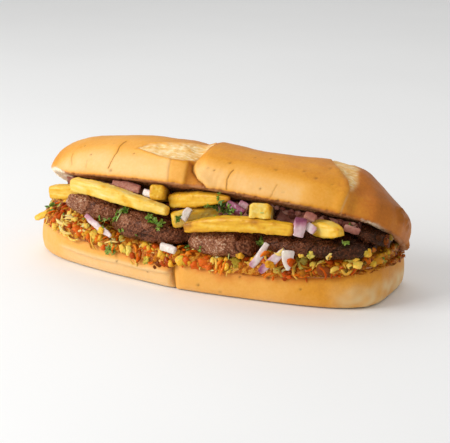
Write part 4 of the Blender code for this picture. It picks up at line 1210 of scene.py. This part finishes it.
def scatter_parsley(landing, relish, covers, finish):
    """Drops the clumps of parsley and their stems, then a few stray leaves over the relish."""
    draws = random.Random(PARSLEY_SEED)
    leaves = Handful("chopped_parsley", "relish", finish)
    for pixel, spread, count, size in PARSLEY:
        for _ in range(count):
            at = (draws.gauss(pixel[0], spread / 2.2), draws.gauss(pixel[1], spread / 2.8))
            landed = landing.at(at)
            if landed is None:
                continue
            spot, outward = landed
            outward = outward + np.array([draws.gauss(0, 0.35) for _ in range(3)])
            shape = parsley_leaf(draws, size * draws.uniform(0.9, 1.5))
            heading = landing.heading(draws.uniform(0, 360))
            tint, lifted = draws.uniform(0.05, 0.55), draws.uniform(0.2, 1.0)
            leaves.lay(shape, spot, outward, heading, tint, sink=-lifted)
    for pixel, length, tilt in STEMS:
        landed = landing.at(pixel)
        if landed is not None:
            stem = strand(draws, length, STEM_THICKNESS, STEM_THICKNESS, STEM_CURL)
            leaves.lay(stem, *landed, landing.heading(tilt), tint=0.7, sink=-0.3)
    for spot, outward in open_spots(relish, [skin.tree() for skin in covers], draws, STRAY_LEAVES,
                                    lambda middles, normals: (normals[:, 2] > -0.2) & (middles[:, 2] > 19.0)):
        leaves.lay(parsley_leaf(draws, draws.uniform(*STRAY_LEAF_SIZES)), spot, outward,
                   [draws.gauss(0, 1) for _ in range(3)], draws.uniform(0.1, 0.6), sink=-1.2)
    leaves.piece()


# ---- Stage ----


FLOOR_HALF = 60.0  # metres
SKY_STRENGTH = 0.61
# Each lamp: where it stands, where it aims, how wide it is in metres and its power in watts.
LAMPS = (
    ("left_front", (-0.75, -0.8, 0.65), (0.0, 0.0, 0.04), 0.7, 11.0),
    ("overhead", (-0.3, 0.4, 1.1), (0.0, 0.0, 0.05), 0.9, 2.0),
)


def set_stage():
    """A pale floor, a large soft lamp at the left front, a weaker one above, and even light all round."""
    made, tree, output, place = new_finish("pale_floor")
    grain = add(tree, "TexNoise", {"Scale": per_mm(300), "Detail": 2}, {"Vector": place})
    colour = add(tree, "ValToRGB", links={"Fac": grain.outputs["Fac"]},
                 stops=((0.3, "#f1f1f0"), (0.7, "#f4f4f3")))
    shader = add(tree, "BsdfPrincipled", {"Roughness": 0.7}, {"Base Color": colour.outputs[0]})
    tree.links.new(shader.outputs[0], output.inputs["Surface"])
    mesh = bpy.data.meshes.new("floor")
    corners = [(FLOOR_HALF * i, FLOOR_HALF * j, 0) for i, j in ((-1, -1), (1, -1), (1, 1), (-1, 1))]
    mesh.from_pydata(corners, [], [(0, 1, 2, 3)])
    mesh.materials.append(made)
    floor = bpy.data.objects.new("floor", mesh)
    bpy.context.scene.collection.objects.link(floor)

    world = bpy.data.worlds.new("studio")
    world.use_nodes = True
    bpy.context.scene.world = world
    sky = world.node_tree.nodes["Background"]
    sky.inputs["Color"].default_value = (1.0, 1.0, 1.0, 1.0)
    sky.inputs["Strength"].default_value = SKY_STRENGTH

    for name, spot, aim, size, power in LAMPS:
        lamp = bpy.data.lights.new(name, "AREA")
        lamp.size = size
        lamp.energy = power
        holder = bpy.data.objects.new(name, lamp)
        bpy.context.scene.collection.objects.link(holder)
        holder.location = spot
        holder.rotation_mode = "QUATERNION"
        holder.rotation_quaternion = (Vector(aim) - Vector(spot)).to_track_quat("-Z", "Y")

    place, right, up, back = view_frame()
    seen = bpy.data.cameras.new("camera")
    seen.sensor_width = SENSOR
    seen.lens = DISTANCE / MM_PER_PIXEL / PICTURE[0] * SENSOR
    seen.clip_start, seen.clip_end = 0.01, 30.0
    camera = bpy.data.objects.new("camera", seen)
    bpy.context.scene.collection.objects.link(camera)
    axes = np.stack([right, up, back], 1)
    camera.matrix_world = Matrix.Translation(Vector(place * MM)) @ Matrix(axes.tolist()).to_4x4()
    bpy.context.scene.camera = camera
    bpy.context.scene.view_settings.view_transform = "Standard"


# The darker onion finish, for the chopped heap and, as painted shade, for the strips under the lid.
SWEATED_AND_SHADED_ONION = ((0.0, "#c99a8a"), (0.35, "#a2665a"), (0.65, "#6c3830"), (1.0, "#3a1a18"))


def main():
    crust = baked_crust()
    lid, base = make_lid(crust), make_base(crust)
    potato = fried_potato()
    chips = [make_chip(n + 1, potato) for n in range(len(CHIP_BROWNING_AND_PAINTED_LIGHT))]
    onion = raw_red_onion()
    seared = seared_liver()
    slices = [make_liver_slice(n + 1, seared) for n in range(len(LIVER_TONE))]
    relish = make_relish_bed(relish_sauce(), base)
    sweated_and_shaded = cooked_vegetable("sweated_and_shaded_onion", SWEATED_AND_SHADED_ONION, roughness=0.3, light_depth=0.2,
                               mottle_size=2.5, depth=0.2)
    strips = [make_onion_strip(n + 1, sweated_and_shaded if n + 1 in STRIPS_IN_SHADE else onion)
              for n in range(len(ONION_SKIN))]
    heap = heap_core("onion_heap", voxel=1.3, drawn_in=1.6)
    heap.piece("onion_heap_core", "chopped_onion", sweated_and_shaded, ("onion_heap",))
    finishes = {kind: cooked_vegetable(f"stewed_{kind}", stops, roughness=0.34, light_depth=0.4,
                                       mottle_size=2.2, depth=0.3)
                for kind, stops in RELISH_COLOURS.items()}
    landing = Landing([lid, base, relish, heap, *chips, *strips, *slices])
    dress_relish(relish, [lid, base, *slices], landing, finishes)
    dress_onion_heap(heap, [lid, *slices, *chips], sweated_and_shaded)
    scatter_parsley(landing, relish, [lid, base, *slices, *chips], fresh_parsley())
    set_stage()


main()
